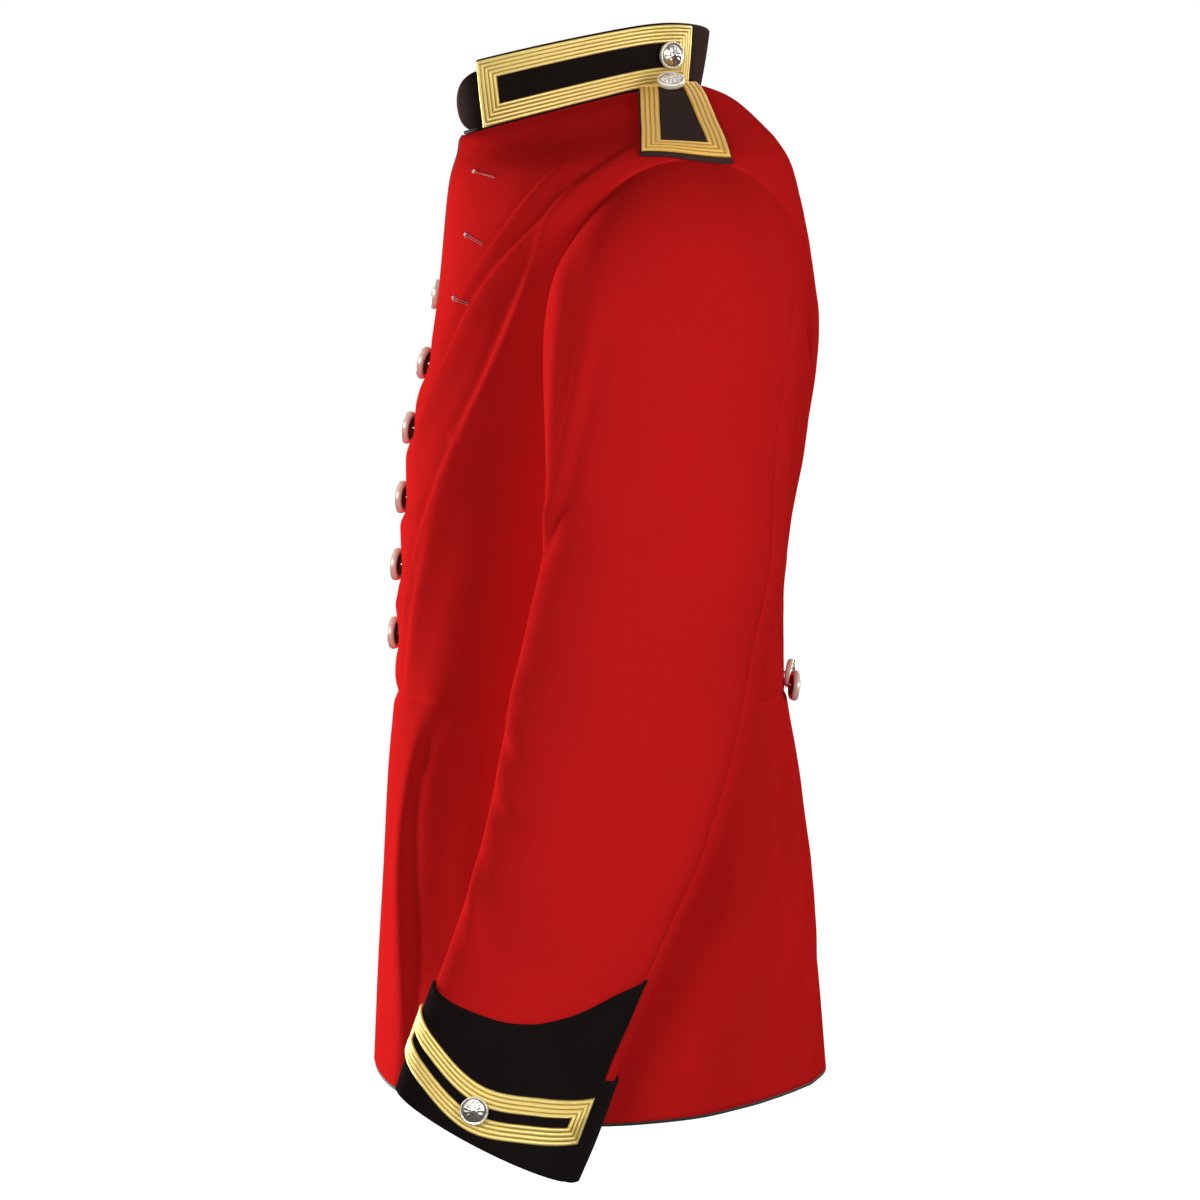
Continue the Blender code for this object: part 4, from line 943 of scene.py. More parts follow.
class NodeMaker:
    """Short words for adding nodes to a tree."""

    def __init__(self, tree: bpy.types.NodeTree) -> None:
        """Keep the tree to add nodes to."""
        self.tree = tree

    def add(self, kind: str, inputs: Inputs | None = None, **values: object) -> bpy.types.Node:
        """Add a node.

        Args:
            kind: the node's type, without the words before it.
            inputs: socket names or numbers, each with a number, colour or socket.
            values: other settings of the node.

        Returns:
            The node.
        """
        node = self.tree.nodes.new(f"ShaderNode{kind}")
        for name, value in values.items():
            setattr(node, name, value)
        fill(node, inputs or {})
        return node

    def math(self, operation: str, first: object, second: object = 0.0, third: object = 0.0) -> Socket:
        """Result of a math node."""
        return self.add("Math", {0: first, 1: second, 2: third}, operation=operation).outputs[0]

    def times(self, first: object, second: object) -> Socket:
        """Two numbers multiplied."""
        return self.math("MULTIPLY", first, second)

    def times_plus(self, first: object, second: object, third: object) -> Socket:
        """Two numbers multiplied, and a third added."""
        return self.math("MULTIPLY_ADD", first, second, third)

    def mix(self, share: object, first: object, second: object) -> Socket:
        """Two colours mixed by a share."""
        return self.add("Mix", {0: share, 6: first, 7: second}, data_type="RGBA").outputs[2]

    def ramp(self, value: object, low: float, high: float) -> Socket:
        """A value spread from 0 at low to 1 at high, smoothly."""
        inputs = {0: value, 1: low, 2: high, 3: 0.0, 4: 1.0}
        return self.add("MapRange", inputs, interpolation_type="SMOOTHSTEP").outputs[0]

    def noise(self, place: Socket, scale: object, detail: float = 2.0, roughness: float = 0.5) -> Socket:
        """Soft noise of about 0 to 1."""
        inputs = {"Vector": place, "Scale": scale, "Detail": detail, "Roughness": roughness}
        return self.add("TexNoise", inputs).outputs[0]

    def bump(self, height: Socket, distance: float, strength: float) -> Socket:
        """Facing of a surface with a small relief."""
        return self.add("Bump", {"Height": height, "Distance": distance, "Strength": strength}).outputs[0]

    def split(self, place: Socket) -> tuple[Socket, Socket, Socket]:
        """The three numbers of a place."""
        return tuple(self.add("SeparateXYZ", {0: place}).outputs)

    def stretch(self, place: Socket, scale: tuple[float, float, float]) -> Socket:
        """A place with its three numbers scaled."""
        return self.add("Mapping", {"Vector": place, "Scale": scale}).outputs[0]

    def cloth_place(self) -> Socket:
        """The place on the cloth, in metres."""
        return self.add("UVMap", uv_map=CLOTH_MAP).outputs[0]

    def shared(self, name: str, **inputs: object) -> bpy.types.NodeOutputs:
        """Outputs of one of the shared groups."""
        return self.add("Group", inputs, node_tree=bpy.data.node_groups[name]).outputs


def new_group(name: str, inputs: dict[str, float],
              outputs: Sequence[str]) -> tuple[NodeMaker, bpy.types.NodeOutputs, bpy.types.Node]:
    """A shader node group with number sockets, and its vector input "Place".

    Args:
        name: the group's name.
        inputs: names and first values of its number inputs.
        outputs: names of its number outputs.

    Returns:
        Its node maker, what it is given, and its output node.
    """
    tree = bpy.data.node_groups.new(name, "ShaderNodeTree")
    tree.interface.new_socket("Place", in_out="INPUT", socket_type="NodeSocketVector")
    for word, value in inputs.items():
        tree.interface.new_socket(word, in_out="INPUT", socket_type="NodeSocketFloat").default_value = value
    for word in outputs:
        tree.interface.new_socket(word, in_out="OUTPUT", socket_type="NodeSocketFloat")
    given, result = (tree.nodes.new(f"NodeGroup{end}") for end in ("Input", "Output"))
    return NodeMaker(tree), given.outputs, result


class Effects:
    """Shader node groups that several finishes share, each built once."""

    WEAVE = "ClothWeave"
    NAP = "ClothNap"
    DRIFT = "ColourDrift"
    THREAD = "MetalThread"

    @classmethod
    def build(cls) -> None:
        """Make every group."""
        cls.build_weave()
        cls.build_nap()
        cls.build_drift()
        cls.build_thread()

    @classmethod
    def build_weave(cls) -> None:
        """Twill lines over crossing threads, from the place on the cloth."""
        maker, given, result = new_group(cls.WEAVE, {"Pitch": 0.0008, "Waver": 0.25}, ("Height",))
        x, y, _ = maker.split(given["Place"])
        waver = maker.times(maker.noise(given["Place"], 900.0), given["Waver"])
        turn = maker.math("DIVIDE", 2 * math.pi, given["Pitch"])
        slant = maker.times_plus(x, 0.8, y)
        twill = maker.math("SINE", maker.times_plus(slant, turn, maker.times(waver, 12.0)))
        weft = maker.math("SINE", maker.times(y, turn))
        fill(result, {"Height": maker.times_plus(maker.times_plus(weft, 0.35, twill), 0.35, 0.5)})

    @classmethod
    def build_nap(cls) -> None:
        """Brushed fibres: streaks down the cloth and a fine fuzz."""
        maker, given, result = new_group(cls.NAP, {"Scale": 1.0}, ("Height", "Streak"))
        long = maker.stretch(given["Place"], (900.0, 60.0, 1.0))
        fine = maker.stretch(given["Place"], (1500.0, 1100.0, 1.0))
        streak = maker.noise(long, given["Scale"], 4.0, 0.65)
        fuzz = maker.noise(fine, given["Scale"], 3.0, 0.7)
        fill(result, {"Height": maker.times_plus(streak, 0.5, maker.times(fuzz, 0.5)), "Streak": streak})

    @classmethod
    def build_drift(cls) -> None:
        """Slow variation of colour over the whole garment."""
        maker, given, result = new_group(cls.DRIFT, {"Scale": 9.0}, ("Value",))
        fill(result, {"Value": maker.ramp(maker.noise(given["Place"], given["Scale"], 5.0, 0.6), 0.3, 0.7)})

    @classmethod
    def build_thread(cls) -> None:
        """Slanting metal threads laid over the ridges of lace."""
        maker, given, result = new_group(cls.THREAD, {"Pitch": 0.0009, "Slant": 1.0}, ("Height", "Glint"))
        x, y, _ = maker.split(given["Place"])
        turn = maker.math("DIVIDE", 2 * math.pi, given["Pitch"])
        lean = maker.times_plus(y, given["Slant"], x)
        phase = maker.times_plus(maker.noise(given["Place"], 700.0, 3.0), 2.5, maker.times(lean, turn))
        sparkle = maker.noise(given["Place"], 1600.0)
        fill(result, {"Height": maker.times_plus(maker.math("SINE", phase), 0.5, 0.5),
                      "Glint": maker.ramp(sparkle, 0.45, 0.7)})


def start_material(name: str) -> tuple[Material, NodeMaker, bpy.types.Node]:
    """A new material with its node maker and its shader."""
    material = bpy.data.materials.new(name)
    material.use_nodes = True
    return material, NodeMaker(material.node_tree), material.node_tree.nodes["Principled BSDF"]


@dataclass(frozen=True)
class ClothFinish:
    """Milled wool: a fine twill under a brushed nap, with slow drifts of colour and a soft sheen."""

    name: str
    colour: Colour
    shade: Colour
    sheen: float
    sheen_tint: Colour
    roughness: float = 0.85
    bump: float = 0.25
    PITCH = 0.0009
    DRIFT = 0.5
    RELIEF = 0.0004
    SHEEN_ROUGHNESS = 0.45

    def build(self) -> Material:
        """Make the material."""
        material, maker, shader = start_material(self.name)
        place = maker.cloth_place()
        weave = maker.shared(Effects.WEAVE, Place=place, Pitch=self.PITCH)
        nap = maker.shared(Effects.NAP, Place=place)
        drift = maker.shared(Effects.DRIFT, Place=maker.add("TexCoord").outputs["Object"])
        streak = maker.ramp(nap["Streak"], 0.25, 0.75)
        share = maker.times_plus(drift[0], self.DRIFT, maker.times(streak, 0.35))
        height = maker.times_plus(weave[0], 0.5, maker.times(nap[0], 0.9))
        fill(shader, {
            "Base Color": maker.mix(share, self.colour, self.shade),
            "Normal": maker.bump(height, self.RELIEF, self.bump),
            "Roughness": maker.times_plus(streak, 0.08, self.roughness - 0.04),
            "Specular IOR Level": 0.0,
            "Sheen Weight": self.sheen,
            "Sheen Roughness": self.SHEEN_ROUGHNESS,
            "Sheen Tint": self.sheen_tint,
        })
        return material


@dataclass(frozen=True)
class LaceFinish:
    """Woven metal lace: threads that slant over each ridge, with a painted highlight on the ridge tops and
    painted shade in the grooves between the ridges.
    """

    name: str
    # light: painted highlight on the ridge tops; dark: painted shade in the grooves.
    light: Colour
    middle: Colour
    dark: Colour
    width: float
    ridges: int
    METALLIC = 0.72
    ROUGHNESS = 0.45
    RELIEF = 0.0003

    def build(self) -> Material:
        """Make the material."""
        material, maker, shader = start_material(self.name)
        place = maker.cloth_place()
        turns = maker.times(maker.split(place)[1], 2 * math.pi * self.ridges / self.width)
        crest = maker.times_plus(maker.math("COSINE", turns), -0.5, 0.5)
        thread = maker.shared(Effects.THREAD, Place=place)
        # Painted shade: darker in the grooves between the ridges.
        tone = maker.mix(maker.ramp(crest, 0.0, 0.42), self.dark, self.middle)
        # Painted highlight: lighter where the threads stand highest on the ridges.
        bright = maker.times(maker.ramp(crest, 0.3, 0.9), maker.ramp(thread["Height"], 0.0, 0.6))
        drift = maker.shared(Effects.DRIFT, Place=place, Scale=60.0)
        tone = maker.mix(maker.times(drift[0], 0.25), maker.mix(bright, tone, self.light), self.middle)
        fill(shader, {
            "Base Color": tone,
            "Roughness": maker.times_plus(thread["Glint"], -0.15, self.ROUGHNESS),
            "Normal": maker.bump(thread["Height"], self.RELIEF, 0.5),
            "Metallic": self.METALLIC,
            "Specular IOR Level": 0.6,
        })
        return material


@dataclass(frozen=True)
class MetalFinish:
    """Worn silver plate: fine scratches, and tarnish in the hollows."""

    name: str
    bright: Colour
    tarnish: Colour
    roughness: float = 0.16
    metallic: float = 1.0
    RELIEF = 0.0001

    def build(self) -> Material:
        """Make the material."""
        material, maker, shader = start_material(self.name)
        place = maker.add("TexCoord").outputs["Object"]
        drift = maker.shared(Effects.DRIFT, Place=place, Scale=420.0)
        hollow = maker.ramp(maker.add("NewGeometry").outputs["Pointiness"], 0.53, 0.44)
        share = maker.math("MAXIMUM", hollow, maker.times(drift[0], 0.25))
        scratch = maker.noise(place, 2600.0, 3.0)
        fill(shader, {
            "Base Color": maker.mix(share, self.bright, self.tarnish),
            "Roughness": maker.times_plus(maker.math("ADD", scratch, share), 0.14, self.roughness - 0.06),
            "Normal": maker.bump(scratch, self.RELIEF, 0.12),
            "Metallic": self.metallic,
        })
        return material


@dataclass(frozen=True)
class ThreadFinish:
    """Sewing thread or cord: two plies that turn round each other."""

    name: str
    colour: Colour
    shade: Colour
    pitch: float = 0.0012
    RELIEF = 0.0002

    def build(self) -> Material:
        """Make the material."""
        material, maker, shader = start_material(self.name)
        ply = maker.shared(Effects.THREAD, Place=maker.cloth_place(), Pitch=self.pitch, Slant=0.6)
        fill(shader, {
            "Base Color": maker.mix(ply["Height"], self.shade, self.colour),
            "Normal": maker.bump(ply["Height"], self.RELIEF, 0.5),
            "Roughness": maker.times_plus(ply["Glint"], 0.12, 0.72),
        })
        return material


class Finishes:
    """Every finish of the tunic, built once."""

    def __init__(self) -> None:
        """Make the shared groups and then the materials."""
        Effects.build()
        self.scarlet = ClothFinish("scarlet_wool", (0.59, 0.0112, 0.0108, 1), (0.50, 0.0104, 0.0096, 1),
                                   0.12, (1.0, 0.035, 0.030, 1)).build()
        self.black = ClothFinish("black_wool", (0.0125, 0.0092, 0.0090, 1), (0.0078, 0.0060, 0.0060, 1),
                                 0.05, (0.60, 0.45, 0.42, 1), roughness=0.9, bump=0.35).build()
        self.collar = ClothFinish("black_collar_wool", (0.013, 0.0092, 0.0084, 1), (0.0082, 0.006, 0.0055, 1),
                                  0.30, (0.80, 0.48, 0.40, 1), roughness=0.9, bump=0.35).build()
        # A lighter, browner black than the other black cloth, for the shoulder straps.
        self.brown_black = ClothFinish("black_strap_wool", (0.062, 0.036, 0.031, 1), (0.041, 0.024, 0.020, 1),
                                 0.06, (0.6, 0.45, 0.4, 1), roughness=0.9, bump=0.4).build()
        # Each lace's first colour is a painted highlight on the ridge tops and its last a painted shade in
        # the grooves.
        self.collar_lace = LaceFinish("gold_lace_collar", (1.0, 0.90, 0.46, 1), (1.0, 0.74, 0.20, 1),
                                      (0.46, 0.27, 0.04, 1), LACE_WIDTH, COLLAR_RIDGES).build()
        self.cuff_lace = LaceFinish("gold_lace_cuff", (1.0, 0.90, 0.44, 1), (1.0, 0.74, 0.19, 1),
                                    (0.46, 0.27, 0.04, 1), CUFF_LACE_WIDTH, LACE_RIDGES).build()
        self.strap_lace = LaceFinish("gold_lace_strap", (1.0, 0.70, 0.22, 1), (0.84, 0.48, 0.09, 1),
                                     (0.50, 0.25, 0.03, 1), STRAP_LACE_WIDTH, LACE_RIDGES).build()
        self.silver = MetalFinish("silver_plate", (0.90, 0.85, 0.76, 1), (0.24, 0.19, 0.14, 1)).build()
        # The rim's pale, barely metallic colour is a painted highlight.
        self.rim = MetalFinish("silver_rim", (1.0, 0.95, 0.83, 1), (0.94, 0.88, 0.75, 1), 0.34, 0.30).build()
        # Dark colour inside the button's back: painted shade.
        self.dark_metal = MetalFinish("unpolished_back", (0.30, 0.25, 0.16, 1), (0.16, 0.13, 0.08, 1),
                                      0.6, 0.1).build()
        self.piping = ThreadFinish("black_cord", (0.018, 0.014, 0.014, 1), (0.007, 0.006, 0.006, 1),
                                   0.0020).build()
        self.pale_thread = ThreadFinish("buttonhole_thread", (0.74, 0.055, 0.05, 1),
                                        (0.42, 0.015, 0.015, 1)).build()
        self.white_thread = ThreadFinish("white_thread", (0.95, 0.92, 0.88, 1), (0.80, 0.76, 0.70, 1)).build()


# ---- bookkeeping
class Held(Enum):
    """How a cloth piece is held."""

    HUNG = "hung"
    LAID = "laid"
    STRETCHED = "stretched"


def enter(piece: Piece, slot: str, *nodes: str) -> Piece:
    """Let a piece ride on the tunic and stand for its nodes, which are hidden.

    Args:
        piece: the piece.
        slot: not used.
        nodes: the nodes that it stands for.

    Returns:
        The piece.
    """
    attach(piece, "root")
    if nodes:
        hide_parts(*nodes)
    LOG.info("%s: %d faces", piece.name, len(piece.data.polygons))
    return piece


def body_names(side: Side) -> list[str]:
    """Names of the front and back of one half, on which its collar and strap rest."""
    return [f"front_{side.word}_cloth", f"back_{side.word}_cloth"]


@dataclass(frozen=True)
class Sheet:
    """A cloth piece: its outer and inner grids of points, its places on the cloth and its edges."""

    name: str
    faces: Sequence[Array]
    places: Array
    edges: Edges

    def measure(self) -> tuple[float, float, float]:
        """Width, length and area of the cut that the outer face needs."""
        outer = self.faces[0]
        width = float(np.linalg.norm(np.diff(outer, axis=1), axis=-1).sum(1).max())
        length = float(np.linalg.norm(np.diff(outer, axis=0), axis=-1).sum(0).max())
        one = np.cross(outer[1:, :-1] - outer[:-1, :-1], outer[:-1, 1:] - outer[:-1, :-1])
        two = np.cross(outer[1:, :-1] - outer[1:, 1:], outer[:-1, 1:] - outer[1:, 1:])
        area = float((np.linalg.norm(one, axis=-1).sum() + np.linalg.norm(two, axis=-1).sum()) / 2)
        return width, length, min(area, width * length)

    def build(self, finish: Material, slot: str, held: Held, rests_on: Sequence[str] = (),
              nodes: Sequence[str] = ()) -> None:
        """Make the piece and log the size of its cut.

        Args:
            finish: its material.
            slot: not used.
            held: not used.
            rests_on: not used.
            nodes: the nodes that it stands for, where they are not the one of its own name.
        """
        piece = make_shell(f"{self.name}_cloth", *self.faces, self.places, self.edges, finish)
        enter(piece, slot, *(nodes or (self.name,)))
        width, length, area = self.measure()
        LOG.info("%s: cut %.3f x %.3f m, %.4f square metres", piece.name, width, length, area)


# ---- body panels
@dataclass(frozen=True)
class BodyPanel:
    """One cut piece of the body, between two lines that are angles from the front.

    ends are its top and bottom, as lengths down the cloth; low and high give the angle of its two
    edges at such a length.
    """

    name: str
    side: Side
    ends: tuple[float, float]
    low: Callable[[float], float]
    high: Callable[[float], float]
    edges: Edges
    cell: float = CELL

    def places(self) -> tuple[Array, Array]:
        """Angles and lengths down of the panel's grid."""
        downs = np.linspace(*self.ends, count_cells(self.ends[1] - self.ends[0], self.cell) + 1)
        spans = [(self.high(d) - self.low(d)) * BODY.one("half_width", d) for d in downs]
        columns = count_cells(max(spans), self.cell)
        angles = np.array([np.linspace(self.low(d), self.high(d), columns + 1) for d in downs])
        return angles, np.repeat(downs[:, None], columns + 1, 1)

    def sink(self, angles: Array, downs: Array) -> Array:
        """How far the cloth rolls into its seams at each place."""
        reach = BODY.read("half_width", downs)
        gaps = {
            "left": (angles - angles[:, :1]) * reach,
            "right": (angles[:, -1:] - angles) * reach,
            "top": downs - self.ends[0],
            "bottom": self.ends[1] - downs,
        }
        roll = np.zeros(angles.shape)
        for edge, kind in self.edges.items():
            if kind is Edge.SEAM:
                roll = np.maximum(roll, np.exp(-(gaps[edge] / SEAM_ROLL_WIDTH) ** 2))
        return SEAM_ROLL * roll

    def build(self, finish: Material) -> None:
        """Make the panel and log the size of its cut."""
        angles, downs = self.places()
        sunk = -self.sink(angles, downs)
        faces = [Body.at(self.side.value, angles, downs, sunk - depth) for depth in (0.0, CLOTH)]
        places = np.stack((angles * BODY_SCALE, downs), -1)
        sheet = Sheet(f"{self.name}_{self.side.word}", faces, places, self.edges)
        sheet.build(finish, "scarlet_cloth", Held.HUNG)


@dataclass
class BodyPanels:
    """All the cut pieces of the body and skirt."""

    finish: Material

    @staticmethod
    def side_seam(down: float) -> float:
        """Angle of the side seam above the waist."""
        share = (down - DOWN_UNDERARM) / (DOWN_WAIST - DOWN_UNDERARM)
        return math.radians(blend(SIDE_SEAM, min(1.0, max(0.0, share))))

    @classmethod
    def front_high(cls, down: float, way: int = 1) -> float:
        """Outer edge of the front, or of the back (way -1): shoulder seam, armhole, then side seam."""
        if down <= DOWN_SHOULDER:
            return math.pi / 2
        return Armhole.angle(way * Armhole.turn(down)) if down < DOWN_UNDERARM else cls.side_seam(down)

    @classmethod
    def armhole_back(cls, down: float) -> float:
        """Back edge of the armhole, and the side seam below it."""
        return cls.front_high(down, -1)

    @staticmethod
    def curved_seam(down: float) -> float:
        """Curved seam from the armhole's back to the waist."""
        top = Armhole.down(CURVED_SEAM_TOP)
        start = Armhole.angle(360 - CURVED_SEAM_TOP) + CURVED_SEAM_START
        share = min(1.0, max(0.0, (down - top) / (DOWN_WAIST - top)))
        return blend((start, math.radians(CURVED_SEAM_WAIST)), share ** CURVED_SEAM_BEND)

    @classmethod
    def back_low(cls, down: float) -> float:
        """Outer edge of the back: shoulder seam, armhole, then curved seam."""
        top = Armhole.down(CURVED_SEAM_TOP)
        return cls.armhole_back(down) if down < top else cls.curved_seam(down)

    @staticmethod
    def vent(down: float) -> float:
        """Edge of the open vent at the skirt's centre back."""
        opening = VENT_HALF * (down - DOWN_WAIST) / (DOWN_HEM - DOWN_WAIST)
        return math.pi - opening / (BODY.one("back_y", down) - BODY.one("mid_y", down))

    def panels(self, side: Side) -> list[BodyPanel]:
        """The five pieces of one half."""
        waist, hem = DOWN_WAIST, DOWN_HEM
        top = Armhole.down(CURVED_SEAM_TOP)
        edge, back, vent = Body.edge_angle, self.curved_seam, self.vent

        def skirt_seam(_: float) -> float:
            """Angle of the side seam below the waist."""
            return math.radians(SIDE_SEAM[1])

        def middle(_: float) -> float:
            """Angle of the centre back seam."""
            return math.pi

        return [
            BodyPanel("front", side, (0.0, waist), edge, self.front_high, open_at("left"), FRONT_CELL),
            BodyPanel("side", side, (top, waist), self.armhole_back, back, open_at()),
            BodyPanel("back", side, (0.0, waist), self.back_low, middle, open_at()),
            BodyPanel("skirt_front", side, (waist, hem), edge, skirt_seam, open_at("bottom", "left")),
            BodyPanel("skirt_back", side, (waist, hem), skirt_seam, vent, open_at("bottom", "right")),
        ]

    def build(self) -> None:
        """Make every piece of both halves."""
        for side in Side:
            for panel in self.panels(side):
                panel.build(self.finish)


# ---- sleeves and cuffs
@dataclass
class Sleeves:
    """Top sleeves, under-sleeves and the cuffs laid on them."""

    scarlet: Material
    black: Material
    CUFF_CELL = 0.0025
    HEAD_ROLL = 0.35          # share of a seam's roll that shows at the sleeve head
    HALVES = {"top": (HIND_SEAM, FRONT_SEAM), "under": (FRONT_SEAM, HIND_SEAM + 360)}

    def sheet(self, name: str, side: Side, ends: tuple[int, int], runs: Array, lift: float,
              wall: float, edges: Edges) -> Sheet:
        """Part of the sleeve between two angles.

        Args:
            name: the piece's name.
            side: which sleeve.
            ends: degrees round the sleeve of its two edges.
            runs: grid of lengths down the arm.
            lift: metres off the sleeve's face.
            wall: thickness.
            edges: what its edges are.

        Returns:
            The piece, not yet built.
        """
        turns = np.repeat(np.radians(np.linspace(*ends, runs.shape[1]))[None, :], runs.shape[0], 0)
        down = np.where(runs < 0, runs * HEAD_LENGTH, runs)
        reach = ARM_SCALE * np.minimum(turns - turns[:, :1], turns[:, -1:] - turns)
        roll = np.exp(-(reach / SEAM_ROLL_WIDTH) ** 2)
        if edges["top"] is Edge.SEAM:
            roll = np.maximum(roll, self.HEAD_ROLL * np.exp(-((down + HEAD_LENGTH) / SEAM_ROLL_WIDTH) ** 2))
        sunk = lift - SEAM_ROLL * roll
        faces = [Sleeve.at(side.value, turns, runs, sunk - depth) for depth in (0.0, wall)]
        return Sheet(name, faces, np.stack((turns * ARM_SCALE, down), -1), edges)

    @staticmethod
    def count_columns(ends: tuple[int, int], cell: float) -> int:
        """Cells between two angles round the sleeve."""
        return count_cells(math.radians(ends[1] - ends[0]) * ARM_SCALE, cell)

    def build_side(self, side: Side) -> None:
        """Make one sleeve with its cuff."""
        head = np.linspace(-1, 0, count_cells(HEAD_LENGTH, CELL) + 1)[:-1]
        arm = np.linspace(0, ARM_END, count_cells(ARM_END, CELL) + 1)
        runs = np.concatenate((head, arm))
        word = side.word
        for half, ends in self.HALVES.items():
            grid = np.repeat(runs[:, None], self.count_columns(ends, CELL) + 1, 1)
            sheet = self.sheet(f"{half}_sleeve_{word}", side, ends, grid, 0.0, CLOTH, open_at("bottom"))
            nodes = [f"{half}_{part}_{word}" for part in SLEEVE_PARTS]
            sheet.build(self.scarlet, "scarlet_cloth", Held.HUNG, nodes=nodes)
        for half, ends in self.HALVES.items():
            turns = np.linspace(*ends, self.count_columns(ends, self.CUFF_CELL) + 1)
            heights = CUFF.read("height", turns) if half == "top" else np.full(len(turns), CUFF_UNDER_HEIGHT)
            steps = np.linspace(1, 0, count_cells(float(heights.max()), self.CUFF_CELL) + 1)
            grid = ARM_END - steps[:, None] * heights[None, :]
            edges = open_at("top", "bottom")
            sheet = self.sheet(f"cuff_{half}_{word}", side, ends, grid, BED + FACING, FACING, edges)
            sheet.build(self.black, "black_cloth", Held.LAID, [f"{half}_sleeve_{word}_cloth"])

    def build(self) -> None:
        """Make both sleeves."""
        for side in Side:
            self.build_side(side)


# ---- collar
@dataclass
class Collar:
    """The stand collar in two halves, and the round tongue behind its left end."""

    finish: Material
    CELL = 0.0022
    ROLL = 0.0004             # how far its top edge bows out
    TUCK = 0.0024             # its foot inside the neckline
    HALF_LENGTH = 0.20
    TONGUE_STEPS = (33, 17)

    def lay(self, name: str, side: Side, grid: tuple[Array, Array], lift: Values,
            wall: float, edges: Edges, rests_on: Sequence[str]) -> None:
        """Make a piece of the collar.

        Args:
            name: the node that it stands for.
            side: the half it lies on.
            grid: its angles and its shares of the collar's height.
            lift: metres off the collar's face.
            wall: thickness.
            edges: what its edges are.
            rests_on: not used.
        """
        faces = [CollarForm.at(side.value, *grid, lift - depth) for depth in (0.0, wall)]
        places = np.stack((grid[0] * COLLAR_FRONT_RADIUS, grid[1] * COLLAR_HEIGHT), -1)
        Sheet(name, faces, places, edges).build(self.finish, "black_cloth", Held.STRETCHED, rests_on)

    def build_half(self, side: Side) -> None:
        """Make one half."""
        angles = np.linspace(math.radians(COLLAR_END), math.pi, count_cells(self.HALF_LENGTH, self.CELL) + 1)
        ups = np.linspace(-self.TUCK / COLLAR_HEIGHT, 1, count_cells(COLLAR_HEIGHT, self.CELL) + 2)
        angles, ups = np.meshgrid(angles, ups)
        back = (math.pi - angles) * COLLAR_REAR_RADIUS
        bow = self.ROLL * np.sin(math.pi * np.maximum(ups, 0))
        bow = bow - SEAM_ROLL * np.exp(-(back / SEAM_ROLL_WIDTH) ** 2)
        name = f"collar_{side.word}"
        self.lay(name, side, (angles, ups), bow, COLLAR_CLOTH, open_at("bottom", "left"), body_names(side))

    def build_tongue(self) -> None:
        """Make the round tongue."""
        rows, columns = self.TONGUE_STEPS
        ups = np.sin(np.linspace(-math.pi / 2, math.pi / 2, rows)) * TONGUE_HALF
        bows = np.sqrt(np.maximum(0.0, 1 - (ups / TONGUE_HALF) ** 2))
        starts = COLLAR_END - TONGUE_REACH * bows
        angles = np.radians([np.linspace(start, TONGUE_BACK, columns) for start in starts])
        ups = np.repeat((ups + TONGUE_MIDDLE)[:, None], columns, 1)
        self.lay("collar_tongue", Side.LEFT, (angles, ups), -COLLAR_CLOTH - LACE_BED, FACING,
                 open_at(*EDGES), ["collar_left_cloth"])

    def build(self) -> None:
        """Make both halves and the tongue."""
        for side in Side:
            self.build_half(side)
        self.build_tongue()


# ---- lace
@dataclass(frozen=True)
class LaceFrame:
    """A ridged band of lace between two closed outlines, with mitred corners.

    place turns (across, along, lift) arrays into points; outer and inner are matching outline points.
    """

    place: Callable[[Array, Array, Array], Array]
    outer: Outline
    inner: Outline
    lift: float
    ridges: int
    width: float
    POINTS = 5                # across a ridge
    STEP = 0.00045            # along the band
    PLAIT = 0.0016            # length of one turn of a ridge's twisted threads
    TWIST = 0.30              # how much a ridge's height swells at each turn, as a share
    SLANT = 2.2               # how far a turn leans across its ridge, in radians
    ROUNDNESS = 0.8           # power that makes a ridge's section fuller
    EDGE = 0.7                # height of the band's two edges, as a share of its base

    def build(self, finish: Material, node: str) -> None:
        """Make the band.

        Args:
            finish: its material.
            node: the node that it stands for.
        """
        rough, inner = (np.array(outline + outline[:1], float) for outline in (self.outer, self.inner))
        way = lengths_to(self.place(rough[:, 0], rough[:, 1], np.zeros(len(rough))))
        counts = np.maximum(1, np.round(np.diff(way) / self.STEP)).astype(int)
        at = np.concatenate([i + np.arange(n) / n for i, n in enumerate(counts)])
        start, end = (np.stack([np.interp(at, np.arange(len(rough)), line[:, k]) for k in range(2)], -1)
                      for line in (rough, inner))
        along = np.interp(at, np.arange(len(rough)), way)
        shares = np.linspace(0, 1, self.ridges * self.POINTS + 1)
        crest = np.abs(np.sin(math.pi * self.ridges * shares)) ** self.ROUNDNESS
        hand = np.where(np.floor(self.ridges * shares) % 2 == 0, 1, -1)
        lean = self.SLANT * hand * ((self.ridges * shares) % 1 - 0.5)
        turns = 1 + self.TWIST * np.sin(2 * math.pi * along[:, None] / self.PLAIT + lean[None, :])
        tops = self.lift + LACE_BASE + LACE_RIDGE * crest[None, :] * turns
        tops[:, 0] = tops[:, -1] = self.lift + LACE_BASE * self.EDGE
        under = np.linspace(1, 0, self.ridges + 1)
        shares = np.concatenate((shares, under))
        lifts = np.concatenate((tops, np.full((len(tops), len(under)), self.lift)), 1)
        both = start[:, None, :] + (end - start)[:, None, :] * shares[None, :, None]
        sections = self.place(both[..., 0], both[..., 1], lifts)
        count = len(shares)
        width = self.width * count / (count - len(under) - 1)
        enter(make_sweep(f"{node}_braid", sections, True, finish, width), "gold_lace", node)


def close_outline(one: Outline, other: Outline, steps: int) -> Outline:
    """A closed outline: one long side, an end, the other long side back, and the other end."""
    ends = [np.linspace(first, last, steps + 1)[1:-1]
            for first, last in ((one[-1], other[-1]), (other[0], one[0]))]
    return [*one, *map(tuple, ends[0]), *reversed(other), *map(tuple, ends[1])]


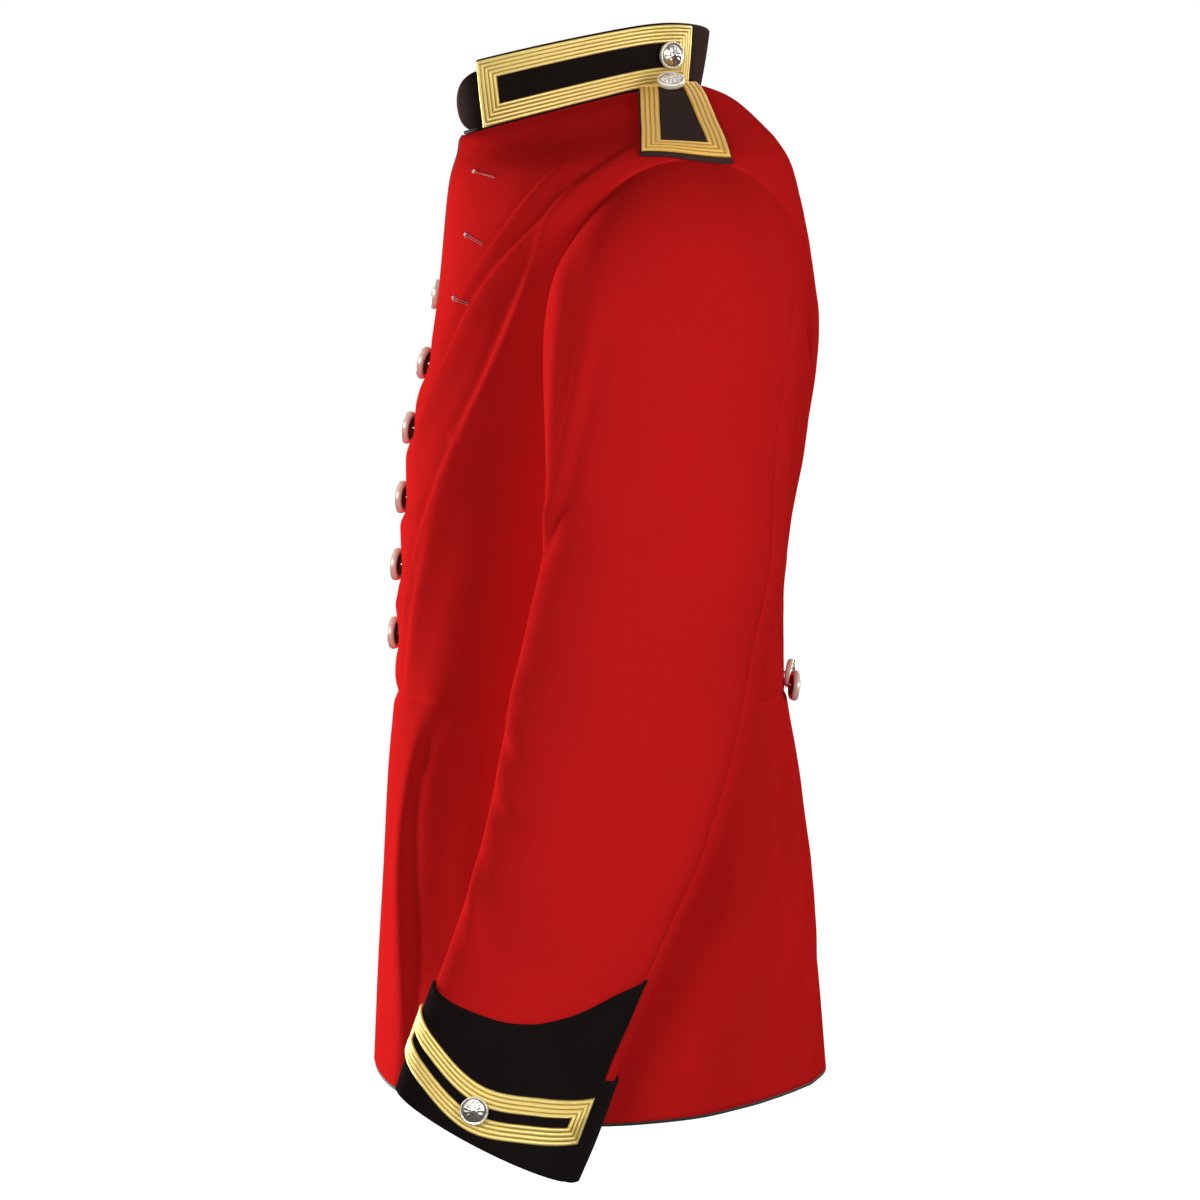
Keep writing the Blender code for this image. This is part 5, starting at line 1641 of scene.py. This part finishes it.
@dataclass
class Lace:
    """Lace of the collar, the shoulder straps and the cuffs."""

    finishes: Finishes
    COLLAR_MARGIN = 0.004     # bare share of the collar's height at each edge
    COLLAR_STEPS = (90, 16)   # points along an outline's long and short sides
    STRAP_STEPS = (44, 12)
    CUFF_STEPS = (80, 10)

    def collar(self, side: Side) -> None:
        """A frame round the collar's front part."""
        first = COLLAR_LACE_START + math.degrees(LACE_WIDTH / COLLAR_FRONT_RADIUS)
        last = COLLAR_LACE_END - math.degrees(LACE_WIDTH / COLLAR_REAR_RADIUS)
        across, up = self.COLLAR_STEPS

        def outline(margin: float, ends: tuple[float, float]) -> Outline:
            """One closed outline, inset from the collar's long edges."""
            sides = ([(u, v) for u in np.linspace(*ends, across + 1)] for v in (margin, 1 - margin))
            return close_outline(*sides, up)

        outer = outline(self.COLLAR_MARGIN, (COLLAR_LACE_START, COLLAR_LACE_END))
        inner = outline(self.COLLAR_MARGIN + LACE_WIDTH / COLLAR_HEIGHT, (first, last))

        def place(u: Array, v: Array, lift: Array) -> Array:
            """Point on the collar."""
            return CollarForm.at(side.value, np.radians(u), v, lift + Collar.ROLL * np.sin(math.pi * v))

        braid = LaceFrame(place, outer, inner, BED, COLLAR_RIDGES, LACE_WIDTH)
        braid.build(self.finishes.collar_lace, f"collar_lace_{side.word}")

    def strap(self, side: Side) -> None:
        """A frame round the shoulder strap."""
        length = STRAP_DOWN[1] - STRAP_DOWN[0]
        edge, band = STRAP_EDGE / length, STRAP_LACE_WIDTH / length
        rows, ends = self.STRAP_STEPS

        def outline(inset: float, start: float, end: float) -> Outline:
            """One closed outline, inset from the strap's long edges."""
            along = np.linspace(start, end, rows + 1)
            sides = ([(way * (1 - inset / blend(STRAP_HALF, t)), t) for t in along] for way in (-1, 1))
            return close_outline(*sides, ends)

        outer = outline(STRAP_LACE_INSET, STRAP_LACE_START, 1 - edge)
        start = STRAP_LACE_START + STRAP_TOP_BAND * band
        inner = outline(STRAP_LACE_INSET + STRAP_LACE_WIDTH, start, 1 - edge - band)

        def place(u: Array, v: Array, lift: Array) -> Array:
            """Point above the strap."""
            return StrapForm.at(side.value, u, v, lift)

        braid = LaceFrame(place, outer, inner, LACE_BED + FACING + BED, LACE_RIDGES, STRAP_LACE_WIDTH)
        braid.build(self.finishes.strap_lace, f"strap_lace_{side.word}")

    def cuff(self, side: Side) -> None:
        """A chevron round a dark slot; its point is at the middle of the top sleeve."""
        reach = CHEVRON_SLOT / 2
        low, high = CHEVRON_ROWS[0][0], CHEVRON_ROWS[-1][0]
        arc = math.degrees(CUFF_LACE_WIDTH / CUFF_RADIUS)
        steps, ends = self.CUFF_STEPS

        def loop(offset: float, first: float, last: float) -> Outline:
            """One closed outline, offset from the middle line."""
            turns = np.linspace(first, last, steps + 1)
            sides = ([(t, CHEVRON.one("height", t) + out) for t in turns] for out in (-offset, offset))
            return close_outline(*sides, ends)

        def place(u: Array, v: Array, lift: Array) -> Array:
            """Point on the sleeve."""
            return Sleeve.at(side.value, np.radians(u), ARM_END - v, lift)

        outer = loop(reach + CUFF_LACE_WIDTH, low, high)
        inner = loop(reach, low + arc, high - arc)
        braid = LaceFrame(place, outer, inner, BED + FACING + BED, LACE_RIDGES, CUFF_LACE_WIDTH)
        braid.build(self.finishes.cuff_lace, f"cuff_lace_{side.word}")

    def build(self) -> None:
        """Make all the lace."""
        for side in Side:
            self.collar(side)
            self.strap(side)
            self.cuff(side)


# ---- straps
@dataclass
class Straps:
    """The shoulder straps, laid from the collar to the sleeve head."""

    finish: Material
    CELL = 0.0026

    def build(self) -> None:
        """Make both straps."""
        for side in Side:
            columns = count_cells(2 * STRAP_HALF[1], self.CELL)
            rows = count_cells(STRAP_DOWN[1] - STRAP_DOWN[0], self.CELL)
            across, along = np.meshgrid(np.linspace(-1, 1, columns + 1), np.linspace(0, 1, rows + 1))
            faces = [StrapForm.at(side.value, across, along, lift) for lift in (LACE_BED + FACING, LACE_BED)]
            places = np.stack((across * STRAP_HALF[1], blend(STRAP_DOWN, along)), -1)
            sheet = Sheet(f"strap_{side.word}", faces, places, open_at(*EDGES))
            sheet.build(self.finish, "black_cloth", Held.LAID, body_names(side))


# ---- piping
@dataclass
class Piping:
    """Thin black cords along the left front edge, the neck and the hem."""

    finish: Material
    SIDES = 10
    STEP = 0.004
    END = 0.004               # left bare where one cord ends and the next begins
    EDGE_STEP = 0.01          # angle over which the way out of the cloth is measured
    NECK_INSET = 0.05         # angle left bare before the collar
    NECK_POINTS = 9
    MAP_WIDTH = 0.008

    def cord(self, name: str, points: Array, hint: tuple[float, float, float] = (1, 0, 0)) -> None:
        """A cord through points.

        Args:
            name: the node that it stands for.
            points: its middle line.
            hint: any direction across it.
        """
        along = unit(np.gradient(points, axis=0))
        across = unit(np.cross(along, hint))
        other = np.cross(along, across)
        turns = circle(self.SIDES)
        ring = np.cos(turns)[None, :, None] * across[:, None] + np.sin(turns)[None, :, None] * other[:, None]
        rings = points[:, None] + PIPING_RADIUS * ring
        enter(make_sweep(f"{name}_cord", rings, False, self.finish, self.MAP_WIDTH), "black_piping", name)

    def edge_line(self, downs: Array) -> Array:
        """Points just outside the left front's edge."""
        points = []
        for down in downs:
            angle = Body.edge_angle(float(down))
            inside = Body.at(1, np.float64(angle + self.EDGE_STEP), down, -CLOTH / 2)
            edge = Body.at(1, np.float64(angle), down, -CLOTH / 2)
            points.append(edge + unit(edge - inside) * PIPING_RADIUS)
        return np.array(points)

    def build(self) -> None:
        """Make every cord."""
        front = np.linspace(0.0, DOWN_WAIST - self.END, count_cells(DOWN_WAIST, self.STEP))
        self.cord("piping_front_left", self.edge_line(front))
        ends = (DOWN_WAIST + self.END / 2, DOWN_HEM - self.END / 2)
        skirt = np.linspace(*ends, count_cells(DOWN_HEM - DOWN_WAIST, self.STEP))
        self.cord("piping_skirt_left", self.edge_line(skirt))
        last = math.radians(COLLAR_END) - self.NECK_INSET
        turns = np.linspace(Body.edge_angle(0.0), last, self.NECK_POINTS)
        above = np.array((0, 0, PIPING_RADIUS + BED))
        self.cord("piping_neck_left", Body.at(1, turns, 0 * turns, -CLOTH / 2) + above)
        for side in Side:
            first = Body.edge_angle(DOWN_HEM) if side is Side.LEFT else 0.0
            last = BodyPanels.vent(DOWN_HEM)
            turns = np.linspace(first, last, count_cells((last - first) * BODY_SCALE, self.STEP))
            hem = Body.at(side.value, turns, 0 * turns + DOWN_HEM, -CLOTH / 2)
            self.cord(f"piping_hem_{side.word}", hem - np.array((0, 0, PIPING_RADIUS)), (0, 0, 1))


# ---- buttons
@dataclass(frozen=True)
class Button:
    """A domed shank button: a rolled rim, a ring of beads and shallow flutes round a plain boss."""

    name: str
    foot: Array
    axis: Vector
    radius: float
    SIDES = 72
    BEADS = 40
    FLUTES = 12
    BACK = ((0.0, 0.0017), (0.34, 0.0016), (0.60, 0.0012), (0.68, 0.0004), (0.76, 0.0001), (0.85, 0.0003),
            (0.92, 0.0008), (0.97, 0.0018))
    FACE = ((1.00, 0.0030), (1.00, 0.0040), (0.985, 0.0045), (0.94, 0.0048), (0.89, 0.0047), (0.84, 0.0044),
            (0.80, 0.0044), (0.74, 0.0046), (0.68, 0.0049), (0.60, 0.0052), (0.50, 0.0056), (0.40, 0.0059),
            (0.30, 0.0061), (0.24, 0.00612), (0.20, 0.0064), (0.12, 0.0066), (0.0, 0.0067))
    FLUTE_DEPTH = 0.00022
    BEAD_RADIUS = 0.062       # share of the button's radius
    BEAD_AT = (0.93, 0.0044)
    BEAD_STEPS = (5, 8)
    BEAD_STEPS = (5, 8)
    RIM_HEIGHT = 0.0044       # the flutes lie above it
    FLUTE_AT = (0.5, 0.16)    # share of the radius at which they are deepest, and their reach
    SHANK_WIRE = 0.0006
    SHANK_LOOP = (0.0021, 0.0028)
    SHANK_MIDDLE = 0.0031
    SHANK_STEPS = (20, 8)
    PAINTED_SHADE_ROWS = 3             # rows of the back painted dark, as painted shade
    EDGE_ROWS = 12            # rows from there to the outer side of the rolled rim, painted pale as a painted highlight

    def point(self, share: float, height: float, turn: float) -> tuple[float, float, float]:
        """A point of the button, at a share of its radius and a height over its shank."""
        reach = share * self.radius
        return reach * math.cos(turn), reach * math.sin(turn), SHANK + height

    def revolve(self, profile: Sequence[tuple[float, float]]) -> tuple[Array, Faces]:
        """Points and faces of the turned shell."""
        turns = circle(self.SIDES)
        points, faces, rings = [], [], []
        for share, height in profile:
            count = 1 if share == 0.0 else self.SIDES
            rings.append(np.arange(len(points), len(points) + count))
            depth = self.FLUTE_DEPTH * np.exp(-((share - self.FLUTE_AT[0]) / self.FLUTE_AT[1]) ** 2)
            if count == 1 or height <= self.RIM_HEIGHT:
                depth = 0.0
            points += [self.point(share, height + depth * math.cos(self.FLUTES * turn), turn)
                       for turn in turns[:count]]
        for lower, upper in zip(rings, rings[1:]):
            for k in range(self.SIDES):
                after = (k + 1) % self.SIDES
                corners = (lower[k % len(lower)], lower[after % len(lower)],
                           upper[after % len(upper)], upper[k % len(upper)])
                faces.append(tuple(dict.fromkeys(int(c) for c in corners)))
        return np.array(points), faces

    def loop(self) -> tuple[Array, Faces]:
        """The shank: a wire loop that stands on the button's back."""
        sides, wires = self.SHANK_STEPS
        points, faces = [], []
        for i, turn in enumerate(circle(sides)):
            for k, tube in enumerate(circle(wires)):
                wide, tall = (reach + self.SHANK_WIRE * math.cos(tube) for reach in self.SHANK_LOOP)
                points.append((wide * math.cos(turn), self.SHANK_WIRE * math.sin(tube),
                               self.SHANK_MIDDLE + tall * math.sin(turn)))
                after, other = (i + 1) % sides, (k + 1) % wires
                faces.append((i * wires + k, i * wires + other, after * wires + other, after * wires + k))
        return np.array(points), faces

    def build(self, metals: Sequence[Material]) -> Piece:
        """Make the button in its place.

        Args:
            metals: metal of its face and shank, of its rolled rim (painted pale, a painted highlight), and
                inside its back (painted dark, painted shade).

        Returns:
            The button.
        """
        parts = [self.revolve(self.BACK + self.FACE), self.loop()]
        for turn in circle(self.BEADS):
            centre = np.array(self.point(*self.BEAD_AT, turn))
            parts.append(ball(centre, self.BEAD_RADIUS * self.radius, self.BEAD_STEPS))
        points, faces, start = [], [], 0
        for some, their_faces in parts:
            points.append(some)
            faces += [tuple(start + k for k in face) for face in their_faces]
            start += len(some)
        turn = np.array(Vector((0, 0, 1)).rotation_difference(self.axis).to_matrix())
        placed = np.concatenate(points) @ turn.T + np.asarray(self.foot)
        places = [(0.0, 0.0)] * sum(map(len, faces))
        made = make_object(f"{self.name}_metal", placed, faces, places, metals[0])
        for metal in metals[1:]:
            made.data.materials.append(metal)
        # The back's middle rows get the painted shade, the rows out to the rolled rim the painted highlight.
        for number, face in enumerate(made.data.polygons[:self.EDGE_ROWS * self.SIDES]):
            face.material_index = 2 if number < self.PAINTED_SHADE_ROWS * self.SIDES else 1
        return enter(made, "silver_metal", self.name)


@dataclass
class Buttons:
    """Every button of the tunic."""

    metals: Sequence[Material]
    AXIS_STEP = 0.01          # lift over which a button's facing is measured

    def sew(self, name: str, surface: Surface, side: int, spot: tuple[float, float], lift: float,
            radius: float, lean: Sequence[float] = (0, 0, 0), upright: bool = True) -> None:
        """Make a button on a surface.

        Args:
            name: what follows "button_" in its name.
            surface: what it is sewn to.
            side: 1 for the left half, -1 for the right.
            spot: its place on the surface.
            lift: metres off the surface.
            radius: its own.
            lean: added to the way that the surface faces.
            upright: it faces as the surface does, or only as its lean says.
        """
        place = np.float64(spot)
        foot = surface(side, *place, lift)
        facing = unit(surface(side, *place, lift + self.AXIS_STEP) - foot) * upright
        axis = Vector(facing + np.array(lean)).normalized()
        Button(f"button_{name}", foot, axis, radius).build(self.metals)

    def front(self) -> None:
        """Three open buttons on the right front and five fastened ones."""
        for number, down in enumerate(OPEN_BUTTON_DOWNS, 1):
            spot = (Body.edge_angle(down) + OPEN_BUTTON_IN / FRONT_SCALE, down)
            self.sew(f"front_{number}", Body.at, -1, spot, BED, LARGE_BUTTON)
        lean = (-math.sin(math.radians(BUTTON_LEAN)), 0, 0)
        for number, down in enumerate(BUTTON_DOWNS, len(OPEN_BUTTON_DOWNS) + 1):
            self.sew(f"front_{number}", Body.at, 1, (0.0, down), 2 * BED, LARGE_FACE, lean)

    def trim(self, side: Side) -> None:
        """Small buttons of the collar, strap and cuff, and the large one at the back waist."""
        number, word = side.value, side.word
        spot = (math.radians(COLLAR_BUTTON[0]), COLLAR_BUTTON[1])
        self.sew(f"collar_{word}", CollarForm.at, number, spot, GAP, SMALL_BUTTON)
        along = (STRAP_BUTTON_DOWN - STRAP_DOWN[0]) / (STRAP_DOWN[1] - STRAP_DOWN[0])
        lean = (number * STRAP_BUTTON_LEAN, 0, 0)
        lift = LACE_BED + FACING + GAP
        self.sew(f"strap_{word}", StrapForm.at, number, (0.0, along), lift, SMALL_BUTTON, lean)
        turn, height = CHEVRON_ROWS[2]
        spot = (math.radians(turn), ARM_END - height)
        self.sew(f"cuff_{word}", Sleeve.at, number, spot, BED + FACING + GAP, SMALL_BUTTON)
        spot = (math.radians(WAIST_BUTTON[0]), WAIST_BUTTON[1])
        axis = (number * WAIST_BUTTON_AXIS[0], *WAIST_BUTTON_AXIS[1:])
        self.sew(f"waist_{word}", Body.at, number, spot, 2 * BED, LARGE_BUTTON, axis, upright=False)

    def build(self) -> None:
        """Make every button."""
        self.front()
        for side in Side:
            self.trim(side)


# ---- buttonholes
@dataclass(frozen=True)
class Buttonhole:
    """A keyhole buttonhole through the left front, purled round with thread.

    start is the middle of its round eyelet, which is nearest the front edge; end is its other end.
    Both are degrees round the body and metres down.
    """

    name: str
    start: tuple[float, float]
    end: tuple[float, float]
    EYELET = 0.0019
    EYELET_TURNS = (22, 338)  # degrees between which the eyelet is round
    EYELET_POINTS = 30
    SLIT = 0.00035            # half-width
    SLIT_POINTS = 40
    PURL = 0.00040            # radius of the thread
    PURL_OUT = 0.00035        # from the cut to the thread's middle
    PURL_SWELL = 0.28         # how much each stitch swells, as a share
    PURL_RISE = 0.25          # of the thread's middle off the cloth, in radii
    BEAD = 0.0012             # length of one stitch
    STEP = 0.00025
    SIDES = 8
    KNOT = 0.0012             # radius of the white knot in the eyelet
    KNOT_STEPS = (9, 14)
    CUT = (0.004, -0.007)     # lifts between which the cloth is cut
    MAP_LENGTH = 0.01
    TURN_STEP = 0.01          # radians over which the body's scale is measured

    def outline(self, out: float) -> Array:
        """Closed outline of the cut, moved out, as metres along and across the hole."""
        length = float(np.linalg.norm(self.frame()[1]))
        turns = np.radians(np.linspace(*self.EYELET_TURNS, self.EYELET_POINTS))
        ring = np.stack((np.cos(turns), np.sin(turns)), -1) * (self.EYELET + out)
        half = np.full(self.SLIT_POINTS - 1, self.SLIT + out)
        lower = np.stack((np.linspace(ring[-1, 0], length, self.SLIT_POINTS)[1:], -half), -1)
        upper = np.stack((np.linspace(length, ring[0, 0], self.SLIT_POINTS)[:-1], half), -1)
        return np.concatenate((ring, lower, upper))

    def frame(self) -> tuple[Array, Array, float]:
        """Start, direction along the hole (both in metres round and down) and metres for each radian."""
        angle = math.radians(self.start[0])
        near = Body.smooth(1, np.array((angle, angle + self.TURN_STEP)), np.full(2, self.start[1]))
        scale = float(np.linalg.norm(near[1] - near[0])) / self.TURN_STEP
        start = np.array((angle * scale, self.start[1]))
        end = np.array((math.radians(self.end[0]) * scale, self.end[1]))
        return start, end - start, scale

    def place(self, flat: Array, lift: Values) -> Array:
        """Points on the left front from metres along and across the hole."""
        start, way, scale = self.frame()
        way = unit(way)
        spot = start + flat[..., :1] * way + flat[..., 1:] * np.array((-way[1], way[0]))
        return Body.at(1, spot[..., 0] / scale, spot[..., 1], lift)

    def cut(self, front: Piece, finish: Material) -> None:
        """Cut the hole through the left front's cloth.

        Args:
            front: the cloth.
            finish: its material.
        """
        walls = [self.place(self.outline(0.0), lift) for lift in self.CUT]
        cutter = make_sweep(f"{self.name}_cut", walls, False, finish, self.MAP_LENGTH)
        taken = front.modifiers.new("cut", "BOOLEAN")
        taken.operation, taken.solver, taken.object = "DIFFERENCE", "EXACT", cutter
        graph = bpy.context.evaluated_depsgraph_get()
        mesh = bpy.data.meshes.new_from_object(front.evaluated_get(graph))
        front.modifiers.clear()
        old, front.data = front.data, mesh
        mesh.name = front.name
        bpy.data.meshes.remove(old)
        bpy.data.objects.remove(cutter)

    def purl(self, finish: Material) -> None:
        """Lay the beaded thread round the cut."""
        rough = self.outline(self.PURL_OUT)
        closed = np.concatenate((rough, rough[:1]))
        along = lengths_to(closed)
        places = np.linspace(0, along[-1], round(along[-1] / self.STEP), endpoint=False)
        line = np.stack([np.interp(places, along, closed[:, k]) for k in range(2)], -1)
        side = np.roll(line, -1, 0) - np.roll(line, 1, 0)
        side = unit(np.stack((side[:, 1], -side[:, 0]), -1))
        beads = self.PURL * (1 + self.PURL_SWELL * np.sin(2 * math.pi * places / self.BEAD))
        turns = circle(self.SIDES)
        flat = line[:, None] + side[:, None] * (beads[:, None] * np.cos(turns))[..., None]
        lift = beads[:, None] * np.sin(turns) + self.PURL_RISE * self.PURL
        made = make_sweep(f"{self.name}_purl", self.place(flat, lift), True, finish, 4 * self.PURL)
        enter(made, "scarlet_cloth")

    def knot(self, finish: Material) -> None:
        """Knot the thread's white end in the eyelet."""
        middle = self.place(np.array(((-self.KNOT / 2, 0.0),)), self.KNOT / 2)[0]
        points, faces = ball(middle, self.KNOT, self.KNOT_STEPS)
        places = [(self.KNOT * k % self.MAP_LENGTH, 0.0) for k in range(sum(map(len, faces)))]
        enter(make_object(f"{self.name}_knot", points, faces, places, finish), "scarlet_cloth")


@dataclass
class Buttonholes:
    """The three open buttonholes of the left front."""

    cloth: Material
    thread: Material
    white: Material
    HOLES = (
        Buttonhole("buttonhole_1", (26.0, 0.1180), (38.0, 0.1310)),
        Buttonhole("buttonhole_2", (32.0, 0.1790), (43.0, 0.1870)),
        Buttonhole("buttonhole_3", (33.0, 0.2262), (43.0, 0.2300)),
    )

    def build(self) -> None:
        """Cut, purl and knot every hole."""
        front = bpy.data.objects["front_left_cloth"]
        for hole in self.HOLES:
            hole.cut(front, self.cloth)
            hole.purl(self.thread)
            hole.knot(self.white)


# ---- studio
@dataclass
class Studio:
    """Pale floor, soft light and the camera at the tunic's left side."""

    CAMERA_AT = (2.8, 0.0, -0.08)
    TARGET = (0.0, 0.0, -0.35)
    PIXEL = 0.00070           # metres for each pixel at the middle plane
    PICTURE = 1200
    SENSOR = 36.0
    CLIP = 0.05
    SEEN = 1.0                # strength of the white surroundings, as seen
    LIT = 0.02                # and as light
    ROOM_BRIGHT = 1.1         # pale parts of the room that metal shows
    ROOM_DARK = 0.07
    FRONT_WALL = 1.15         # a pale wall before the wearer, for metal alone
    FLOOR_REACH = 14.0
    FLOOR_LEVEL = -1.15
    FLOOR_GREYS = ((0.12, 0.12, 0.12, 1), (0.14, 0.14, 0.14, 1))
    WHITE = (1, 1, 1, 1)
    LIGHTS = {                # place, side of the square, watts
        "key": ((3.0, -0.8, 0.5), 0.8, 41.0),
        "fill": ((2.9, 1.6, 0.1), 0.8, 44.0),
        "front": ((-1.6, -2.2, -0.7), 0.5, 124.0),
        "back": ((-1.6, 2.5, 0.4), 0.8, 48.0),
    }

    def aim(self, thing: Piece, place: tuple[float, float, float]) -> float:
        """Stand a thing at a place, facing the tunic's middle.

        Args:
            thing: the light or camera.
            place: where it stands.

        Returns:
            How far the tunic's middle is, in metres.
        """
        gaze = Vector(self.TARGET) - Vector(place)
        thing.location = place
        thing.rotation_euler = gaze.to_track_quat("-Z", "Y").to_euler()
        return gaze.length

    def camera(self) -> None:
        """Make the camera."""
        data = bpy.data.cameras.new("camera")
        camera = add_to_scene("camera", data)
        data.sensor_width = self.SENSOR
        data.lens = self.SENSOR * self.aim(camera, self.CAMERA_AT) / self.PIXEL / self.PICTURE
        data.clip_start = self.CLIP
        bpy.context.scene.camera = camera

    def lights(self) -> None:
        """Make the square soft lights."""
        for name, (place, size, power) in self.LIGHTS.items():
            data = bpy.data.lights.new(name, "AREA")
            data.size, data.energy = size, power
            self.aim(add_to_scene(name, data), place)

    def world(self) -> None:
        """White surroundings, faint as light, and a room of dark and pale parts for metal to show."""
        world = bpy.data.worlds.new("studio")
        world.use_nodes = True
        bpy.context.scene.world = world
        maker = NodeMaker(world.node_tree)
        way = maker.add("TexCoord").outputs["Generated"]
        _, front, up = maker.split(way)
        patches = maker.noise(way, 2.4, 1.0)
        room = maker.times(maker.ramp(up, -0.35, 0.55), maker.ramp(patches, 0.40, 0.56))
        room = maker.times_plus(room, self.ROOM_BRIGHT, self.ROOM_DARK)
        room = maker.math("MAXIMUM", room, maker.times(maker.ramp(front, -0.25, -0.7), self.FRONT_WALL))
        rays = maker.add("LightPath").outputs
        strength = maker.times_plus(rays["Is Glossy Ray"], maker.math("SUBTRACT", room, self.LIT), self.LIT)
        strength = maker.times_plus(rays["Is Camera Ray"], self.SEEN - self.LIT, strength)
        fill(world.node_tree.nodes["Background"], {"Color": self.WHITE, "Strength": strength})

    def floor(self) -> None:
        """A wide pale floor well below the hem."""
        mesh = bpy.data.meshes.new("floor")
        corners = ((-1, -1), (1, -1), (1, 1), (-1, 1))
        points = [(self.FLOOR_REACH * x, self.FLOOR_REACH * y, self.FLOOR_LEVEL) for x, y in corners]
        mesh.from_pydata(points, [], [(0, 1, 2, 3)])
        material, maker, shader = start_material("pale_floor")
        patches = maker.add("TexNoise", {"Scale": 3.0}).outputs[0]
        fill(shader, {
            "Base Color": maker.mix(patches, *self.FLOOR_GREYS),
            "Roughness": 0.9,
            "Emission Color": self.WHITE,
            "Emission Strength": maker.add("LightPath").outputs["Is Camera Ray"],
        })
        mesh.materials.append(material)
        add_to_scene("floor", mesh)

    def build(self) -> None:
        """Make the whole studio."""
        bpy.context.scene.view_settings.view_transform = "Standard"
        self.camera()
        self.world()
        self.floor()
        self.lights()


def main() -> None:
    """Build the studio and then every piece in order."""
    logging.basicConfig(level=logging.INFO, format="%(name)s: %(message)s")
    Studio().build()
    finishes = Finishes()
    BodyPanels(finishes.scarlet).build()
    Buttonholes(finishes.scarlet, finishes.pale_thread, finishes.white_thread).build()
    Sleeves(finishes.scarlet, finishes.black).build()
    Collar(finishes.collar).build()
    Straps(finishes.brown_black).build()
    Lace(finishes).build()
    Piping(finishes.piping).build()
    Buttons((finishes.silver, finishes.rim, finishes.dark_metal)).build()


if __name__ == "__main__":
    main()
